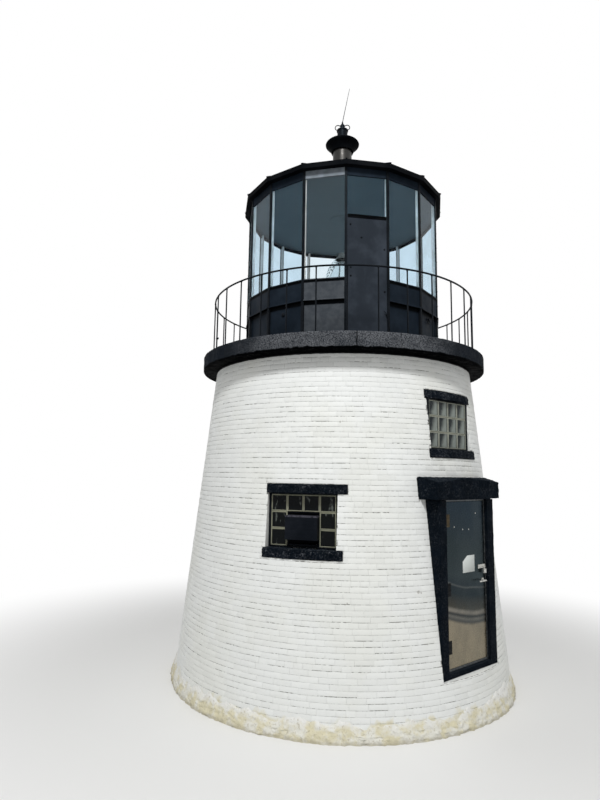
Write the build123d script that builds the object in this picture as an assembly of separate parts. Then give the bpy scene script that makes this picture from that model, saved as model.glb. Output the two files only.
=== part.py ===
from build123d import *
import os
from math import cos, degrees, radians, tan

# All lengths are millimetres and all angles are degrees.
# The tower stands on the XY plane with its axis on Z, and the entrance door faces -Y.
# Places round the tower are angles from the door, positive towards +X.

# Tower wall: painted brick, a straight batter outside and a plain cylinder inside
ground_radius = 2397
wall_batter = 0.1037
wall_top_thickness = 396
base_top_level = 520
wall_top_level = 4346
floor_thickness = 60
floor_edge_gap = 2
back_wall_count = 4

# Mortar skirt at the foot of the wall
skirt_height = 280
skirt_projection = 70
skirt_gap = 0.3

# Entrance portal: cement jambs, sill and weathered lintel
portal_inset = 13
portal_depth = 299
portal_width = 1146
doorway_width = 864
doorway_top_level = 2549
sill_height = 65
lintel_projection = 45
lintel_half_width = 665
lintel_corner_level = 2765
lintel_ridge_level = 2820
lintel_back_level = 2823

# Steel entrance door in its rebated steel frame
leaf_recess = 44
leaf_thickness = 45
frame_face = 20
frame_stop = 15
frame_stop_depth = 15
frame_strip_height = 25
gap_hinge_side = 6
gap_lock_side = 8
gap_head = 6
gap_foot = 6
gap_stop = 5
door_hinge_levels = (850, 1500, 2300)

# Door hinges
pin_radius = 5
pin_clearance = 0.05
knuckle_radius = 8
pin_to_leaf_face = 9
knuckle_length = 50
knuckle_end_gap = 1
hinge_plate_thickness = 3
hinge_plate_width = 84

# Lever handle and lock plate
lever_level = 1545
lever_backset = 60
lever_length = 130
lever_standoff = 55
lever_radius = 9
rose_radius = 27
rose_thickness = 8
lock_level = 1715
lock_width = 150
lock_height = 46
lock_thickness = 12
padlock_width = 46
padlock_height = 52
padlock_depth = 22
shackle_radius = 5

# Glass-block windows, both four blocks wide and three high
block_pitch = 203
block_joint = 8
block_depth = 98
block_seat_gap = 0.3
window_columns = 4
window_rows = 3
iron_side = 28
iron_rail = 14
iron_depth = 110
window_head_height = 114
window_head_projection = 24
window_block_bed = 200
window_bed_gap = 0.5
window_lintel_length = 1010
window_sill_length = 989
lower_window_angle = -56.65
lower_window_sill_level = 1963
lower_window_reveal = 125
lower_lintel_angle = -55.25
lower_sill_angle = -56.1
upper_window_angle = 0.85
upper_window_sill_level = 3170
upper_window_reveal = 55
upper_lintel_angle = 2.0
upper_sill_angle = 1.45

# Vent hood over the two middle columns of the lower window
hood_width = 396
hood_level = 2060
hood_height = 280
hood_projection = 90
hood_sheet = 4
louvre_slat_count = 7
louvre_depth = 40

# Gallery slab and railing
slab_overhang = 215
slab_thickness = 225
drip_groove_inset = 51
drip_groove_width = 24
drip_groove_depth = 14
rail_ring_inset = 146
rail_tube_radius = 12
rail_height = 879
baluster_count = 32
baluster_radius = 9.5
baluster_first_angle = 3.05

# Sixteen-sided lantern
lantern_side_count = 16
lantern_radius = 1526
lantern_first_post = 3.05
post_width = 30
post_depth = 46
post_cover_thickness = 22
post_cover_width = 36
post_cover_lap = 14
facet_gap = 0.5
plate_thickness = 8
lower_plate_recess = 26
parapet_height = 909
ledge_height = 594
ledge_thickness = 25
ledge_projection = 20
lantern_sill_thickness = 26
lantern_sill_projection = 12
lantern_sill_depth = 56
glass_height = 1465
glass_thickness = 10
glass_setback = 8
header_height = 115
gallery_door_angle = -30.7
gallery_door_height = 1776
gallery_door_thickness = 12
transom_bar = 22

# Ceiling, roof and eave
ceiling_thickness = 10
ceiling_rise = 50
eave_overhang = 84
eave_height = 70
eave_sheet = 10
roof_pitch = 26
roof_sheet = 14
flashing_width = 33
flashing_height = 60
flashing_edge = 6
hip_width = 26
hip_height = 9
hip_overrun = 8

# Ventilator, finial and lightning rod
stack_radius = 157
stack_sheet = 7
stack_rise_into_cowl = 30
cowl_lip_radius = 182
cowl_lip_height = 377
cowl_widest_radius = 277
cowl_widest_height = 152
cowl_crown_radius = 92
cowl_crown_height = 245
cowl_sheet = 7
cowl_bracket_count = 4
cowl_bracket_thickness = 8
cowl_bracket_height = 60
collar_radius = 85
collar_height = 145
collar_flange_radius = 96
collar_flange_height = 20
stub_radius = 40
stub_height = 90
finial_tip_height = 70
loop_radius = 46
loop_wire_radius = 7
rod_foot_radius = 6
rod_tip_radius = 3
rod_rise = 620
rod_lean = 118
rod_lean_angle = 45.7

# Lens and its pedestal in the middle of the lantern
pedestal_foot_radius = 190
pedestal_foot_thickness = 30
pedestal_radius = 85
pedestal_flare = 60
table_bracket_height = 120
lens_table_height = 1129
lens_table_radius = 300
lens_table_thickness = 36
lens_radius = 262
lens_barrel_height = 250
lens_crown_height = 330
lens_crown_radius = 105
lens_wall = 45
lens_prism_count = 7
lens_prism_relief = 12
lens_cap_height = 110


def wall_radius(level):
    return ground_radius - wall_batter * level


# Levels and radii that follow from the sizes above
wall_inner_radius = wall_radius(wall_top_level) - wall_top_thickness
floor_level = base_top_level + floor_thickness
portal_half = portal_width / 2
portal_front = (wall_radius(base_top_level) ** 2 - portal_half**2) ** 0.5 - portal_inset
portal_back = portal_front - portal_depth
doorway_half = doorway_width / 2
sill_level = base_top_level + sill_height
leaf_front = portal_front - leaf_recess
leaf_back = leaf_front - leaf_thickness
frame_clear_half = doorway_half - frame_face
frame_foot_level = sill_level + frame_strip_height
frame_head_level = doorway_top_level - frame_face
frame_back = leaf_back - gap_stop - frame_stop_depth
pin_x = -frame_clear_half + gap_hinge_side / 2
pin_y = -leaf_front - pin_to_leaf_face
window_width = window_columns * block_pitch + 2 * iron_side
window_height = window_rows * block_pitch + 2 * iron_rail
lower_window_plane = wall_radius(lower_window_sill_level + window_height / 2) - lower_window_reveal
upper_window_plane = wall_radius(upper_window_sill_level + window_height / 2) - upper_window_reveal
slab_radius = wall_radius(wall_top_level) + slab_overhang
drip_groove_radius = slab_radius - drip_groove_inset
rail_ring_radius = slab_radius - rail_ring_inset
deck_level = wall_top_level + slab_thickness
rail_level = deck_level + rail_height
side_angle = 360 / lantern_side_count
half_side = side_angle / 2
apothem = lantern_radius * cos(radians(half_side))
post_front = lantern_radius - post_cover_lap
door_bay = round((gallery_door_angle - lantern_first_post - half_side) / side_angle) % lantern_side_count
sill_top_level = deck_level + parapet_height
ledge_level = deck_level + ledge_height
glass_top_level = sill_top_level + glass_height
header_top_level = glass_top_level + header_height
ceiling_level = glass_top_level + ceiling_rise
eave_radius = lantern_radius + eave_overhang
eave_level = header_top_level + eave_height
roof_top_radius = stack_radius + flashing_width
roof_top_level = eave_level + (eave_radius - roof_top_radius) * tan(radians(roof_pitch))
cowl_lip_level = roof_top_level + cowl_lip_height
cowl_widest_level = cowl_lip_level + cowl_widest_height
cowl_crown_level = cowl_lip_level + cowl_crown_height
stack_top_level = cowl_lip_level + stack_rise_into_cowl
lens_table_level = deck_level + lens_table_height
rod_foot_level = cowl_crown_level + collar_height + collar_flange_height + stub_height + finial_tip_height
beyond = 3 * ground_radius


def turned(shape, angle):
    return Rot(0, 0, angle) * shape


def block(x_range, y_range, z_range):
    sizes = [high - low for low, high in (x_range, y_range, z_range)]
    middle = [(high + low) / 2 for low, high in (x_range, y_range, z_range)]
    return Pos(*middle) * Box(*sizes)


def ring(section, start=0, sweep=360):
    """A section of (radius, level) points turned round the axis from one angle."""
    face = make_face(Plane.XZ * Polyline(*section, close=True))
    return turned(revolve(face, axis=Axis.Z, revolution_arc=sweep), start - 90)


def polygon_prism(radius, low, high):
    """A sixteen-sided prism with its corners on the lantern posts."""
    outline = RegularPolygon(radius=radius, side_count=lantern_side_count)
    return turned(Pos(0, 0, low) * extrude(outline, high - low), lantern_first_post - 90)


def polygon_cone(low_radius, low, high_radius, high):
    bottom = Pos(0, 0, low) * RegularPolygon(radius=low_radius, side_count=lantern_side_count)
    top = Pos(0, 0, high) * RegularPolygon(radius=high_radius, side_count=lantern_side_count)
    return turned(loft([bottom, top]), lantern_first_post - 90)


def together(shapes):
    return Compound(children=list(shapes))


def write(name, shape):
    shape.label = name
    export_step(shape, f"parts/{name}.step")


# Masonry

def wall_base():
    section = [(0, 0), (wall_radius(0), 0), (wall_radius(base_top_level), base_top_level), (0, base_top_level)]
    return ring(section)


def footing_skirt():
    """A mortar fillet round the foot that thins out up the wall."""
    section = [(wall_radius(0) + skirt_gap, 0)]
    for share, thickness in ((0, 1), (0.18, 0.92), (0.4, 0.55), (0.7, 0.25), (1, 0.08)):
        level = share * skirt_height
        section.append((wall_radius(level) + skirt_projection * thickness, level))
    section.append((wall_radius(skirt_height) + skirt_gap, skirt_height))
    return ring(section)


def wall_sector(start, end):
    section = [
        (wall_inner_radius, base_top_level),
        (wall_radius(base_top_level), base_top_level),
        (wall_radius(wall_top_level), wall_top_level),
        (wall_inner_radius, wall_top_level),
    ]
    return ring(section, start, end - start)


def window_void(angle, sill_level_here):
    opening = block(
        (-window_width / 2, window_width / 2),
        (-beyond, -wall_inner_radius * 0.8),
        (sill_level_here, sill_level_here + window_height),
    )
    return turned(opening, angle)


def stone_band(angle, length, low, projection, bed):
    """A curved lintel or sill that follows the batter of the wall."""
    high = low + window_head_height
    half_angle = degrees(length / 2 / wall_radius(low))
    back = wall_radius(low) - bed
    section = [
        (back, low),
        (wall_radius(low) + projection, low),
        (wall_radius(high) + projection, high),
        (back, high),
    ]
    return ring(section, angle - half_angle, 2 * half_angle)


window_lintels = [
    (lower_lintel_angle, window_lintel_length, lower_window_sill_level + window_height),
    (upper_lintel_angle, window_lintel_length, upper_window_sill_level + window_height),
]
window_sills = [
    (lower_sill_angle, window_sill_length, lower_window_sill_level - window_head_height),
    (upper_sill_angle, window_sill_length, upper_window_sill_level - window_head_height),
]


def window_band(band):
    return stone_band(*band, window_head_projection, window_block_bed)


def cut_windows(wall):
    wall -= window_void(lower_window_angle, lower_window_sill_level)
    wall -= window_void(upper_window_angle, upper_window_sill_level)
    for band in window_lintels + window_sills:
        wall -= stone_band(*band, beyond, window_block_bed + window_bed_gap)
    return wall


def portal_lintel():
    front = portal_front + lintel_projection
    lintel = block(
        (-lintel_half_width, lintel_half_width),
        (-front, -portal_back),
        (doorway_top_level, lintel_back_level),
    )
    # Each half of the top falls from the ridge and from the wall to its own front corner.
    wall_face = wall_radius(lintel_back_level)
    for corner_x in (-lintel_half_width, lintel_half_width):
        corner = Vector(corner_x, -front, lintel_corner_level)
        ridge = Vector(0, -front, lintel_ridge_level)
        back = Vector(corner_x, -wall_face, lintel_back_level)
        normal = (ridge - corner).cross(back - corner)
        if normal.Z < 0:
            normal = normal * -1
        above = Plane(origin=corner, z_dir=normal) * Pos(0, 0, beyond / 2) * Box(beyond, beyond, beyond)
        half = block(sorted((0, 2 * corner_x)), (-beyond, 0), (doorway_top_level, wall_top_level))
        lintel -= above & half
    return lintel


def portal_space():
    """Everything that the portal and the doorway take out of the wall."""
    recess = block((-portal_half, portal_half), (-beyond, -portal_back), (base_top_level, doorway_top_level))
    passage = block((-doorway_half, doorway_half), (-beyond, 0), (base_top_level, doorway_top_level))
    lintel_bed = block(
        (-lintel_half_width, lintel_half_width),
        (-beyond, -portal_back),
        (doorway_top_level, lintel_back_level),
    )
    return recess + passage + lintel_bed


def wall_pieces():
    space = portal_space()
    over_region = block((-portal_half, portal_half), (-beyond, 0), (doorway_top_level, wall_top_level + 1))
    bay_start = lower_window_angle - 19
    bay_end = lower_window_angle + 19
    right_end = -bay_end
    pieces = {
        "wall_left_of_door": wall_sector(bay_end, 0) - space - over_region,
        "wall_right_of_door": wall_sector(0, right_end) - space - over_region,
        "wall_over_door": (wall_sector(bay_end, right_end) & over_region) - space,
        "wall_window_bay": wall_sector(bay_start, bay_end),
    }
    step = (360 + bay_start - right_end) / back_wall_count
    for index in range(back_wall_count):
        start = right_end + index * step
        pieces[f"wall_back_{index + 1}"] = wall_sector(start, start + step)
    for name in ("wall_left_of_door", "wall_right_of_door", "wall_over_door", "wall_window_bay"):
        pieces[name] = cut_windows(pieces[name])
    return pieces


def tower_floor():
    slab = Pos(0, 0, (base_top_level + floor_level) / 2) * Cylinder(wall_inner_radius - floor_edge_gap, floor_thickness)
    passage = block(
        (-doorway_half + floor_edge_gap, doorway_half - floor_edge_gap),
        (-frame_back, -wall_inner_radius / 2),
        (base_top_level, floor_level),
    )
    return slab + passage


def portal_jamb(side):
    inner, outer = sorted((side * doorway_half, side * portal_half))
    return block((inner, outer), (-portal_front, -portal_back), (base_top_level, doorway_top_level))


def portal_sill():
    return block((-doorway_half, doorway_half), (-portal_front, -frame_back), (base_top_level, sill_level))


# Entrance door

def door_frame():
    outer = block((-doorway_half, doorway_half), (-leaf_front, -frame_back), (sill_level, doorway_top_level))
    clear = block((-frame_clear_half, frame_clear_half), (-beyond, 0), (frame_foot_level, frame_head_level))
    stop = block(
        (-frame_clear_half + frame_stop, frame_clear_half - frame_stop),
        (-beyond, 0),
        (frame_foot_level, frame_head_level - frame_stop),
    )
    rebate = clear & block((-beyond, beyond), (-beyond, -leaf_back + gap_stop), (0, wall_top_level))
    return outer - rebate - stop


def door_leaf():
    return block(
        (-frame_clear_half + gap_hinge_side, frame_clear_half - gap_lock_side),
        (-leaf_front, -leaf_back),
        (frame_foot_level + gap_foot, frame_head_level - gap_head),
    )


def knuckle(low, high, bore):
    barrel = Pos(pin_x, pin_y, (low + high) / 2) * Cylinder(knuckle_radius, high - low)
    if bore:
        barrel -= Pos(pin_x, pin_y, (low + high) / 2) * Cylinder(pin_radius + pin_clearance, high - low + 2)
    return barrel


def hinge_plate(x_range, low, high):
    return block(x_range, (-leaf_front - hinge_plate_thickness, -leaf_front), (low, high))


def fixed_hinge(level):
    half = 1.5 * knuckle_length
    shape = Pos(pin_x, pin_y, level) * Cylinder(pin_radius, 2 * half)
    for low in (level - half, level + knuckle_length / 2 + knuckle_end_gap):
        high = low + knuckle_length - knuckle_end_gap
        shape += knuckle(low, high, bore=False)
        shape += hinge_plate((-doorway_half + 1, pin_x), low, high)
    return shape


def moving_hinge(level):
    low = level - knuckle_length / 2
    high = level + knuckle_length / 2
    clear_x = pin_x + knuckle_radius + 1.5
    plate_end = -frame_clear_half + gap_hinge_side + hinge_plate_width
    shape = knuckle(low, high, bore=True)
    shape += hinge_plate((pin_x, clear_x + 1), low, high)
    shape += hinge_plate((clear_x, plate_end), level - 1.5 * knuckle_length, level + 1.5 * knuckle_length)
    return shape


def lever(face_y, outward):
    """A rose, a neck and a lever that points at the hinges, on one face of the leaf."""
    x = frame_clear_half - gap_lock_side - lever_backset
    along = Rot(90, 0, 0)
    rose = Pos(x, face_y + outward * rose_thickness / 2, lever_level) * along * Cylinder(rose_radius, rose_thickness)
    neck_length = lever_standoff - rose_thickness
    neck = Pos(x, face_y + outward * (rose_thickness + neck_length / 2), lever_level) * along * Cylinder(
        lever_radius, neck_length
    )
    arm_y = face_y + outward * lever_standoff
    arm = Pos(x - lever_length / 2, arm_y, lever_level) * Rot(0, 90, 0) * Cylinder(lever_radius, lever_length)
    elbow = Pos(x, arm_y, lever_level) * Sphere(lever_radius)
    tip = Pos(x - lever_length, arm_y, lever_level) * Sphere(lever_radius)
    return rose + neck + arm + elbow + tip


def door_handle():
    return together([lever(-leaf_front, -1), lever(-leaf_back, 1)])


def door_lock():
    right = frame_clear_half - gap_lock_side - 6
    plate = block(
        (right - lock_width, right),
        (-leaf_front - lock_thickness, -leaf_front),
        (lock_level - lock_height / 2, lock_level + lock_height / 2),
    )
    staple_x = right - lock_width / 3
    staple_y = -leaf_front - lock_thickness
    reach = padlock_depth
    legs = plate
    for offset in (-reach / 2, reach / 2):
        legs += Pos(staple_x + offset, staple_y - reach / 2, lock_level) * Rot(90, 0, 0) * Cylinder(shackle_radius, reach)
    bar = Pos(staple_x, staple_y - reach, lock_level) * Rot(0, 90, 0) * Cylinder(shackle_radius, reach + 2 * shackle_radius)
    body_top = lock_level - lock_height / 2 - 6
    shackle = Pos(staple_x, staple_y - reach, (lock_level + body_top) / 2) * Cylinder(shackle_radius, lock_level - body_top)
    body = block(
        (staple_x - padlock_width / 2, staple_x + padlock_width / 2),
        (staple_y - reach - padlock_depth / 2, staple_y - reach + padlock_depth / 2),
        (body_top - padlock_height, body_top),
    )
    return legs + bar + shackle + body


# Windows

def iron_frame(angle, low, plane):
    outer = block(
        (-window_width / 2, window_width / 2),
        (-plane, -plane + iron_depth),
        (low, low + window_height),
    )
    clear = block(
        (-window_width / 2 + iron_side, window_width / 2 - iron_side),
        (-beyond, 0),
        (low + iron_rail, low + window_height - iron_rail),
    )
    return turned(outer - clear, angle)


def block_places(skip):
    for column in range(window_columns):
        for row in range(window_rows):
            if (column, row) not in skip:
                x = (column - window_columns / 2 + 0.5) * block_pitch
                z = (row + 0.5) * block_pitch
                yield x, z


def glass_blocks(angle, low, plane, skip):
    face = block_pitch - block_joint
    y = -plane + iron_depth / 2
    blocks = []
    for x, z in block_places(skip):
        blocks.append(turned(Pos(x, y, low + iron_rail + z) * Box(face, block_depth, face), angle))
    return blocks


def mortar_grid(angle, low, plane, skip):
    width = window_columns * block_pitch
    height = window_rows * block_pitch
    y = -plane + iron_depth / 2
    seat = block_pitch - block_joint + 2 * block_seat_gap
    grid = Pos(0, y, low + iron_rail + height / 2) * Box(width, block_depth - 12, height)
    for x, z in block_places(skip):
        grid -= Pos(x, y, low + iron_rail + z) * Box(seat, block_depth, seat)
    for column, row in skip:
        x = (column - window_columns / 2 + 0.5) * block_pitch
        z = (row + 0.5) * block_pitch
        grid -= Pos(x, y, low + iron_rail + z) * Box(block_pitch + 0.1, block_depth, block_pitch + 0.1)
    return turned(grid, angle)


vent_bay = [(1, 0), (2, 0), (1, 1), (2, 1)]


def vent_louvre():
    """Black slats that fill the four left-out blocks."""
    half = block_pitch - block_seat_gap
    low = lower_window_sill_level + iron_rail + block_seat_gap
    high = lower_window_sill_level + iron_rail + 2 * block_pitch - block_seat_gap
    middle_y = -lower_window_plane + iron_depth / 2
    y_range = (middle_y - louvre_depth / 2, middle_y + louvre_depth / 2)
    border = 20
    louvre = block((-half, half), y_range, (low, high))
    louvre -= block((-half + border, half - border), (-beyond, 0), (low + border, high - border))
    pitch = (high - low - 2 * border) / louvre_slat_count
    for index in range(louvre_slat_count):
        level = low + border + (index + 0.5) * pitch
        slat = Box(2 * (half - border) + 2, louvre_depth * 1.1, 4)
        louvre += Pos(0, middle_y, level) * Rot(-40, 0, 0) * slat
    return turned(louvre & block((-half, half), y_range, (low, high)), lower_window_angle)


def vent_hood():
    """A sheet hood, open below and behind, over the upper part of the louvre."""
    louvre_front = lower_window_plane - iron_depth / 2 + louvre_depth / 2
    front = lower_window_plane + hood_projection
    low = hood_level
    top = hood_level + hood_height
    half = hood_width / 2
    outer = block((-half, half), (-front, -louvre_front), (low, top))
    inner = block(
        (-half + hood_sheet, half - hood_sheet),
        (-front + hood_sheet, 0),
        (low - 1, top - hood_sheet),
    )
    return turned(outer - inner, lower_window_angle)


# Gallery

def gallery_slab():
    groove_in = drip_groove_radius - drip_groove_width / 2
    groove_out = drip_groove_radius + drip_groove_width / 2
    section = [
        (0, wall_top_level),
        (groove_in, wall_top_level),
        (groove_in, wall_top_level + drip_groove_depth),
        (groove_out, wall_top_level + drip_groove_depth),
        (groove_out, wall_top_level),
        (slab_radius, wall_top_level),
        (slab_radius, deck_level),
        (0, deck_level),
    ]
    return ring(section)


def handrail():
    return Pos(0, 0, rail_level) * Torus(rail_ring_radius, rail_tube_radius)


def balusters():
    height = rail_height - rail_tube_radius
    bars = []
    for index in range(baluster_count):
        bar = Pos(0, -rail_ring_radius, deck_level + height / 2) * Cylinder(baluster_radius, height)
        bars.append(turned(bar, baluster_first_angle + index * 360 / baluster_count))
    return together(bars)


# Lantern

def post_angles():
    return [lantern_first_post + index * side_angle for index in range(lantern_side_count)]


def bay_space():
    """The space between two neighbouring posts, in the bay that faces -Y."""
    near = apothem - post_depth
    far = apothem + 2 * ledge_projection
    post_side = post_width / 2 / cos(radians(half_side)) + facet_gap
    near_half = near * tan(radians(half_side)) - post_side
    far_half = far * tan(radians(half_side)) - post_side
    outline = Polyline((-near_half, -near), (near_half, -near), (far_half, -far), (-far_half, -far), close=True)
    space = Pos(0, 0, deck_level) * extrude(make_face(outline), header_top_level - deck_level)
    cover_half = post_cover_width / 2 + facet_gap
    cover = block((-cover_half, cover_half), (-beyond, -post_front + facet_gap), (0, beyond))
    return space - turned(cover, -half_side) - turned(cover, half_side)


def bay_piece(section):
    """A section of (distance from the axis, level) points carried across one bay."""
    face = make_face(Plane.YZ * Polyline(*[(-distance, level) for distance, level in section], close=True))
    return extrude(face, lantern_radius / 2, both=True) & bay_space()


def bay_plate(distance, thickness, low, high):
    return bay_piece([(distance, low), (distance, high), (distance - thickness, high), (distance - thickness, low)])


def every_bay(shape, skip=()):
    copies = []
    for index in range(lantern_side_count):
        if index not in skip:
            copies.append(turned(shape, lantern_first_post + half_side + index * side_angle))
    return together(copies)


def lantern_posts():
    post = block(
        (-post_width / 2, post_width / 2),
        (-post_front, -post_front + post_depth),
        (deck_level, ceiling_level),
    )
    return together(turned(post, angle) for angle in post_angles())


def post_covers():
    cover = block(
        (-post_cover_width / 2, post_cover_width / 2),
        (-post_front - post_cover_thickness, -post_front),
        (deck_level, header_top_level),
    )
    return together(turned(cover, angle) for angle in post_angles())


def parapet_panels():
    """One folded sheet in each bay: recessed foot, ledge, upper band and glazing sill."""
    foot_out = apothem - lower_plate_recess
    foot_in = foot_out - plate_thickness
    band_in = apothem - plate_thickness
    ledge_top = ledge_level + ledge_thickness
    sill_low = sill_top_level - lantern_sill_thickness
    sill_out = apothem + lantern_sill_projection
    panel = bay_piece([
        (foot_in, deck_level),
        (foot_out, deck_level),
        (foot_out, ledge_level),
        (apothem + ledge_projection, ledge_level),
        (apothem + ledge_projection, ledge_top - ledge_thickness / 3),
        (apothem, ledge_top),
        (apothem, sill_low),
        (sill_out, sill_low),
        (sill_out, sill_top_level - 4),
        (apothem - glass_setback + 4, sill_top_level),
        (sill_out - lantern_sill_depth, sill_top_level),
        (sill_out - lantern_sill_depth, sill_low),
        (band_in, sill_low),
        (band_in, ledge_level + plate_thickness),
        (foot_in, ledge_level + plate_thickness),
    ])
    return every_bay(panel, skip=(door_bay,))


def lantern_glass():
    pane = bay_plate(apothem - glass_setback, glass_thickness, sill_top_level, glass_top_level)
    transom_top = deck_level + gallery_door_height + transom_bar
    short_pane = bay_plate(apothem - glass_setback, glass_thickness, transom_top, glass_top_level)
    other_bays = [index for index in range(lantern_side_count) if index != door_bay]
    panes = list(every_bay(pane, skip=(door_bay,)).children)
    return together(panes + list(every_bay(short_pane, skip=other_bays).children))


def lantern_header():
    inner = apothem - plate_thickness - glass_setback - glass_thickness
    plate = bay_piece([
        (apothem, glass_top_level),
        (apothem, header_top_level),
        (apothem - plate_thickness, header_top_level),
        (apothem - plate_thickness, ceiling_level),
        (inner, ceiling_level),
        (inner, glass_top_level),
    ])
    return every_bay(plate)


def gallery_door():
    top = deck_level + gallery_door_height
    bar_in = apothem - glass_setback - glass_thickness
    door = bay_piece([
        (apothem, deck_level),
        (apothem, top + transom_bar),
        (bar_in, top + transom_bar),
        (bar_in, top),
        (apothem - gallery_door_thickness, top),
        (apothem - gallery_door_thickness, deck_level),
    ])
    return every_bay(door, skip=[index for index in range(lantern_side_count) if index != door_bay])


def lantern_ceiling():
    plate = polygon_prism(post_front - facet_gap, ceiling_level, ceiling_level + ceiling_thickness)
    return plate - Pos(0, 0, ceiling_level) * Cylinder(stack_radius + facet_gap, 3 * ceiling_thickness)


def roof_edge():
    """A fascia with a soffit that closes the eave back to the header."""
    inner_radius = lantern_radius - plate_thickness / cos(radians(half_side))
    shell = polygon_prism(eave_radius, header_top_level, eave_level)
    shell -= polygon_prism(eave_radius - eave_sheet, header_top_level + eave_sheet, eave_level + 1)
    return shell - polygon_prism(inner_radius, header_top_level - 1, eave_level + 1)


def roof_hip():
    length = (eave_radius - roof_top_radius) / cos(radians(roof_pitch)) + hip_overrun
    batten = Pos(0, -length / 2, -hip_height / 2) * Box(hip_width, length, 2 * hip_height)
    return Pos(0, -roof_top_radius, roof_top_level + hip_height) * Rot(roof_pitch, 0, 0) * batten


def roof():
    drop = roof_sheet / cos(radians(roof_pitch))
    outer = polygon_cone(eave_radius, eave_level, roof_top_radius, roof_top_level)
    for angle in post_angles():
        outer += turned(roof_hip(), angle)
    inner_foot = eave_radius - drop / tan(radians(roof_pitch))
    inner = polygon_cone(inner_foot, eave_level, roof_top_radius, roof_top_level - drop)
    skirt = polygon_prism(beyond, header_top_level, eave_level)
    opening = Pos(0, 0, roof_top_level) * Cylinder(stack_radius + facet_gap, 4 * drop)
    flashing_seat = Pos(0, 0, roof_top_level + hip_height) * Cylinder(roof_top_radius + facet_gap, 2 * hip_height)
    return outer - inner - skirt - opening - flashing_seat


# Ventilator

def vent_stack():
    foot = ceiling_level
    inner = stack_radius - stack_sheet
    section = [
        (inner, foot),
        (stack_radius, foot),
        (stack_radius, roof_top_level),
        (roof_top_radius, roof_top_level),
        (roof_top_radius, roof_top_level + flashing_edge),
        (stack_radius + flashing_edge, roof_top_level + flashing_height),
        (stack_radius, roof_top_level + flashing_height),
        (stack_radius, stack_top_level),
        (inner, stack_top_level),
    ]
    return ring(section)


def cowl_outline(inset):
    return [
        (cowl_lip_radius - inset, cowl_lip_level),
        (cowl_widest_radius - inset, cowl_widest_level),
        ((cowl_widest_radius + cowl_crown_radius) / 2, (cowl_widest_level + 2 * cowl_crown_level) / 3 - inset),
        (cowl_crown_radius, cowl_crown_level - inset),
    ]


def cowl_body(inset):
    points = cowl_outline(inset)
    side = Spline(*points, tangents=[(0.35, 1), (-1, 0.12)])
    closing = Polyline(points[-1], (0, points[-1][1]), (0, cowl_lip_level), points[0])
    face = make_face(Plane.XZ * (side + closing))
    return revolve(face, axis=Axis.Z)


def vent_cowl():
    outer = cowl_body(0)
    shell = outer - cowl_body(cowl_sheet)
    for index in range(cowl_bracket_count):
        bracket = block(
            (stack_radius, cowl_widest_radius),
            (-cowl_bracket_thickness / 2, cowl_bracket_thickness / 2),
            (cowl_lip_level + 10, cowl_lip_level + 10 + cowl_bracket_height),
        )
        shell += turned(bracket & outer, index * 360 / cowl_bracket_count)
    return shell


def vent_finial():
    flange_low = cowl_crown_level + collar_height
    stub_low = flange_low + collar_flange_height
    tip_low = stub_low + stub_height
    section = [
        (0, cowl_crown_level),
        (collar_radius, cowl_crown_level),
        (collar_radius, flange_low),
        (collar_flange_radius, flange_low),
        (collar_flange_radius, stub_low),
        (stub_radius, stub_low),
        (stub_radius, tip_low),
        (stub_radius * 0.45, tip_low + finial_tip_height * 0.4),
        (rod_foot_radius + 3, rod_foot_level),
        (0, rod_foot_level),
    ]
    finial = ring(section)
    for side in (-1, 1):
        place = Pos(side * collar_radius * 0.9, 0, stub_low + loop_radius + loop_wire_radius - 1)
        loop = place * Rot(90, 0, 0) * Torus(loop_radius, loop_wire_radius)
        finial += turned(loop, rod_lean_angle - 90)
    return finial + lightning_rod()


def lightning_rod():
    """A whip that leans a little, rooted just inside the tip of the finial."""
    lean = Vector(rod_lean, 0, rod_rise)
    root = Plane(origin=(0, 0, rod_foot_level - 2 * rod_foot_radius), z_dir=lean)
    rod = root * Pos(0, 0, lean.length / 2) * Cone(rod_foot_radius, rod_tip_radius, lean.length)
    return turned(rod, rod_lean_angle - 90)


# Lens

def lens_pedestal():
    foot_top = deck_level + pedestal_foot_thickness
    table_low = lens_table_level
    section = [
        (0, deck_level),
        (pedestal_foot_radius, deck_level),
        (pedestal_foot_radius, foot_top),
        (pedestal_radius, foot_top + pedestal_flare),
        (pedestal_radius, table_low - table_bracket_height),
        (lens_table_radius * 0.8, table_low),
        (lens_table_radius, table_low),
        (lens_table_radius, table_low + lens_table_thickness),
        (0, table_low + lens_table_thickness),
    ]
    return ring(section)


def optic_lens():
    """Stepped rings of prisms: a drum below and a closing crown above."""
    low = lens_table_level + lens_table_thickness
    barrel_top = low + lens_barrel_height
    outline = [(lens_radius, low), (lens_radius, barrel_top)]
    for index in range(lens_prism_count):
        share = (index + 1) / lens_prism_count
        radius = lens_crown_radius + (lens_radius - lens_crown_radius) * cos(radians(90 * share))
        level = barrel_top + lens_crown_height * share
        outline.append((outline[-1][0] - lens_prism_relief * 0.3, level - lens_crown_height / lens_prism_count * 0.3))
        outline.append((radius, level))
    top = outline[-1][1]
    inner_top = (lens_crown_radius - lens_wall * 0.6, top - lens_wall)
    inner = [inner_top, (lens_radius - lens_wall, barrel_top), (lens_radius - lens_wall, low)]
    return ring(outline + [(0, top), (0, top - lens_wall)] + inner)


def lens_cap():
    low = lens_table_level + lens_table_thickness + lens_barrel_height + lens_crown_height
    section = [
        (0, low),
        (lens_crown_radius * 0.9, low),
        (lens_crown_radius * 0.9, low + lens_cap_height * 0.3),
        (lens_crown_radius * 0.55, low + lens_cap_height * 0.45),
        (lens_crown_radius * 0.55, low + lens_cap_height),
        (0, low + lens_cap_height),
    ]
    return ring(section)


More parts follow.
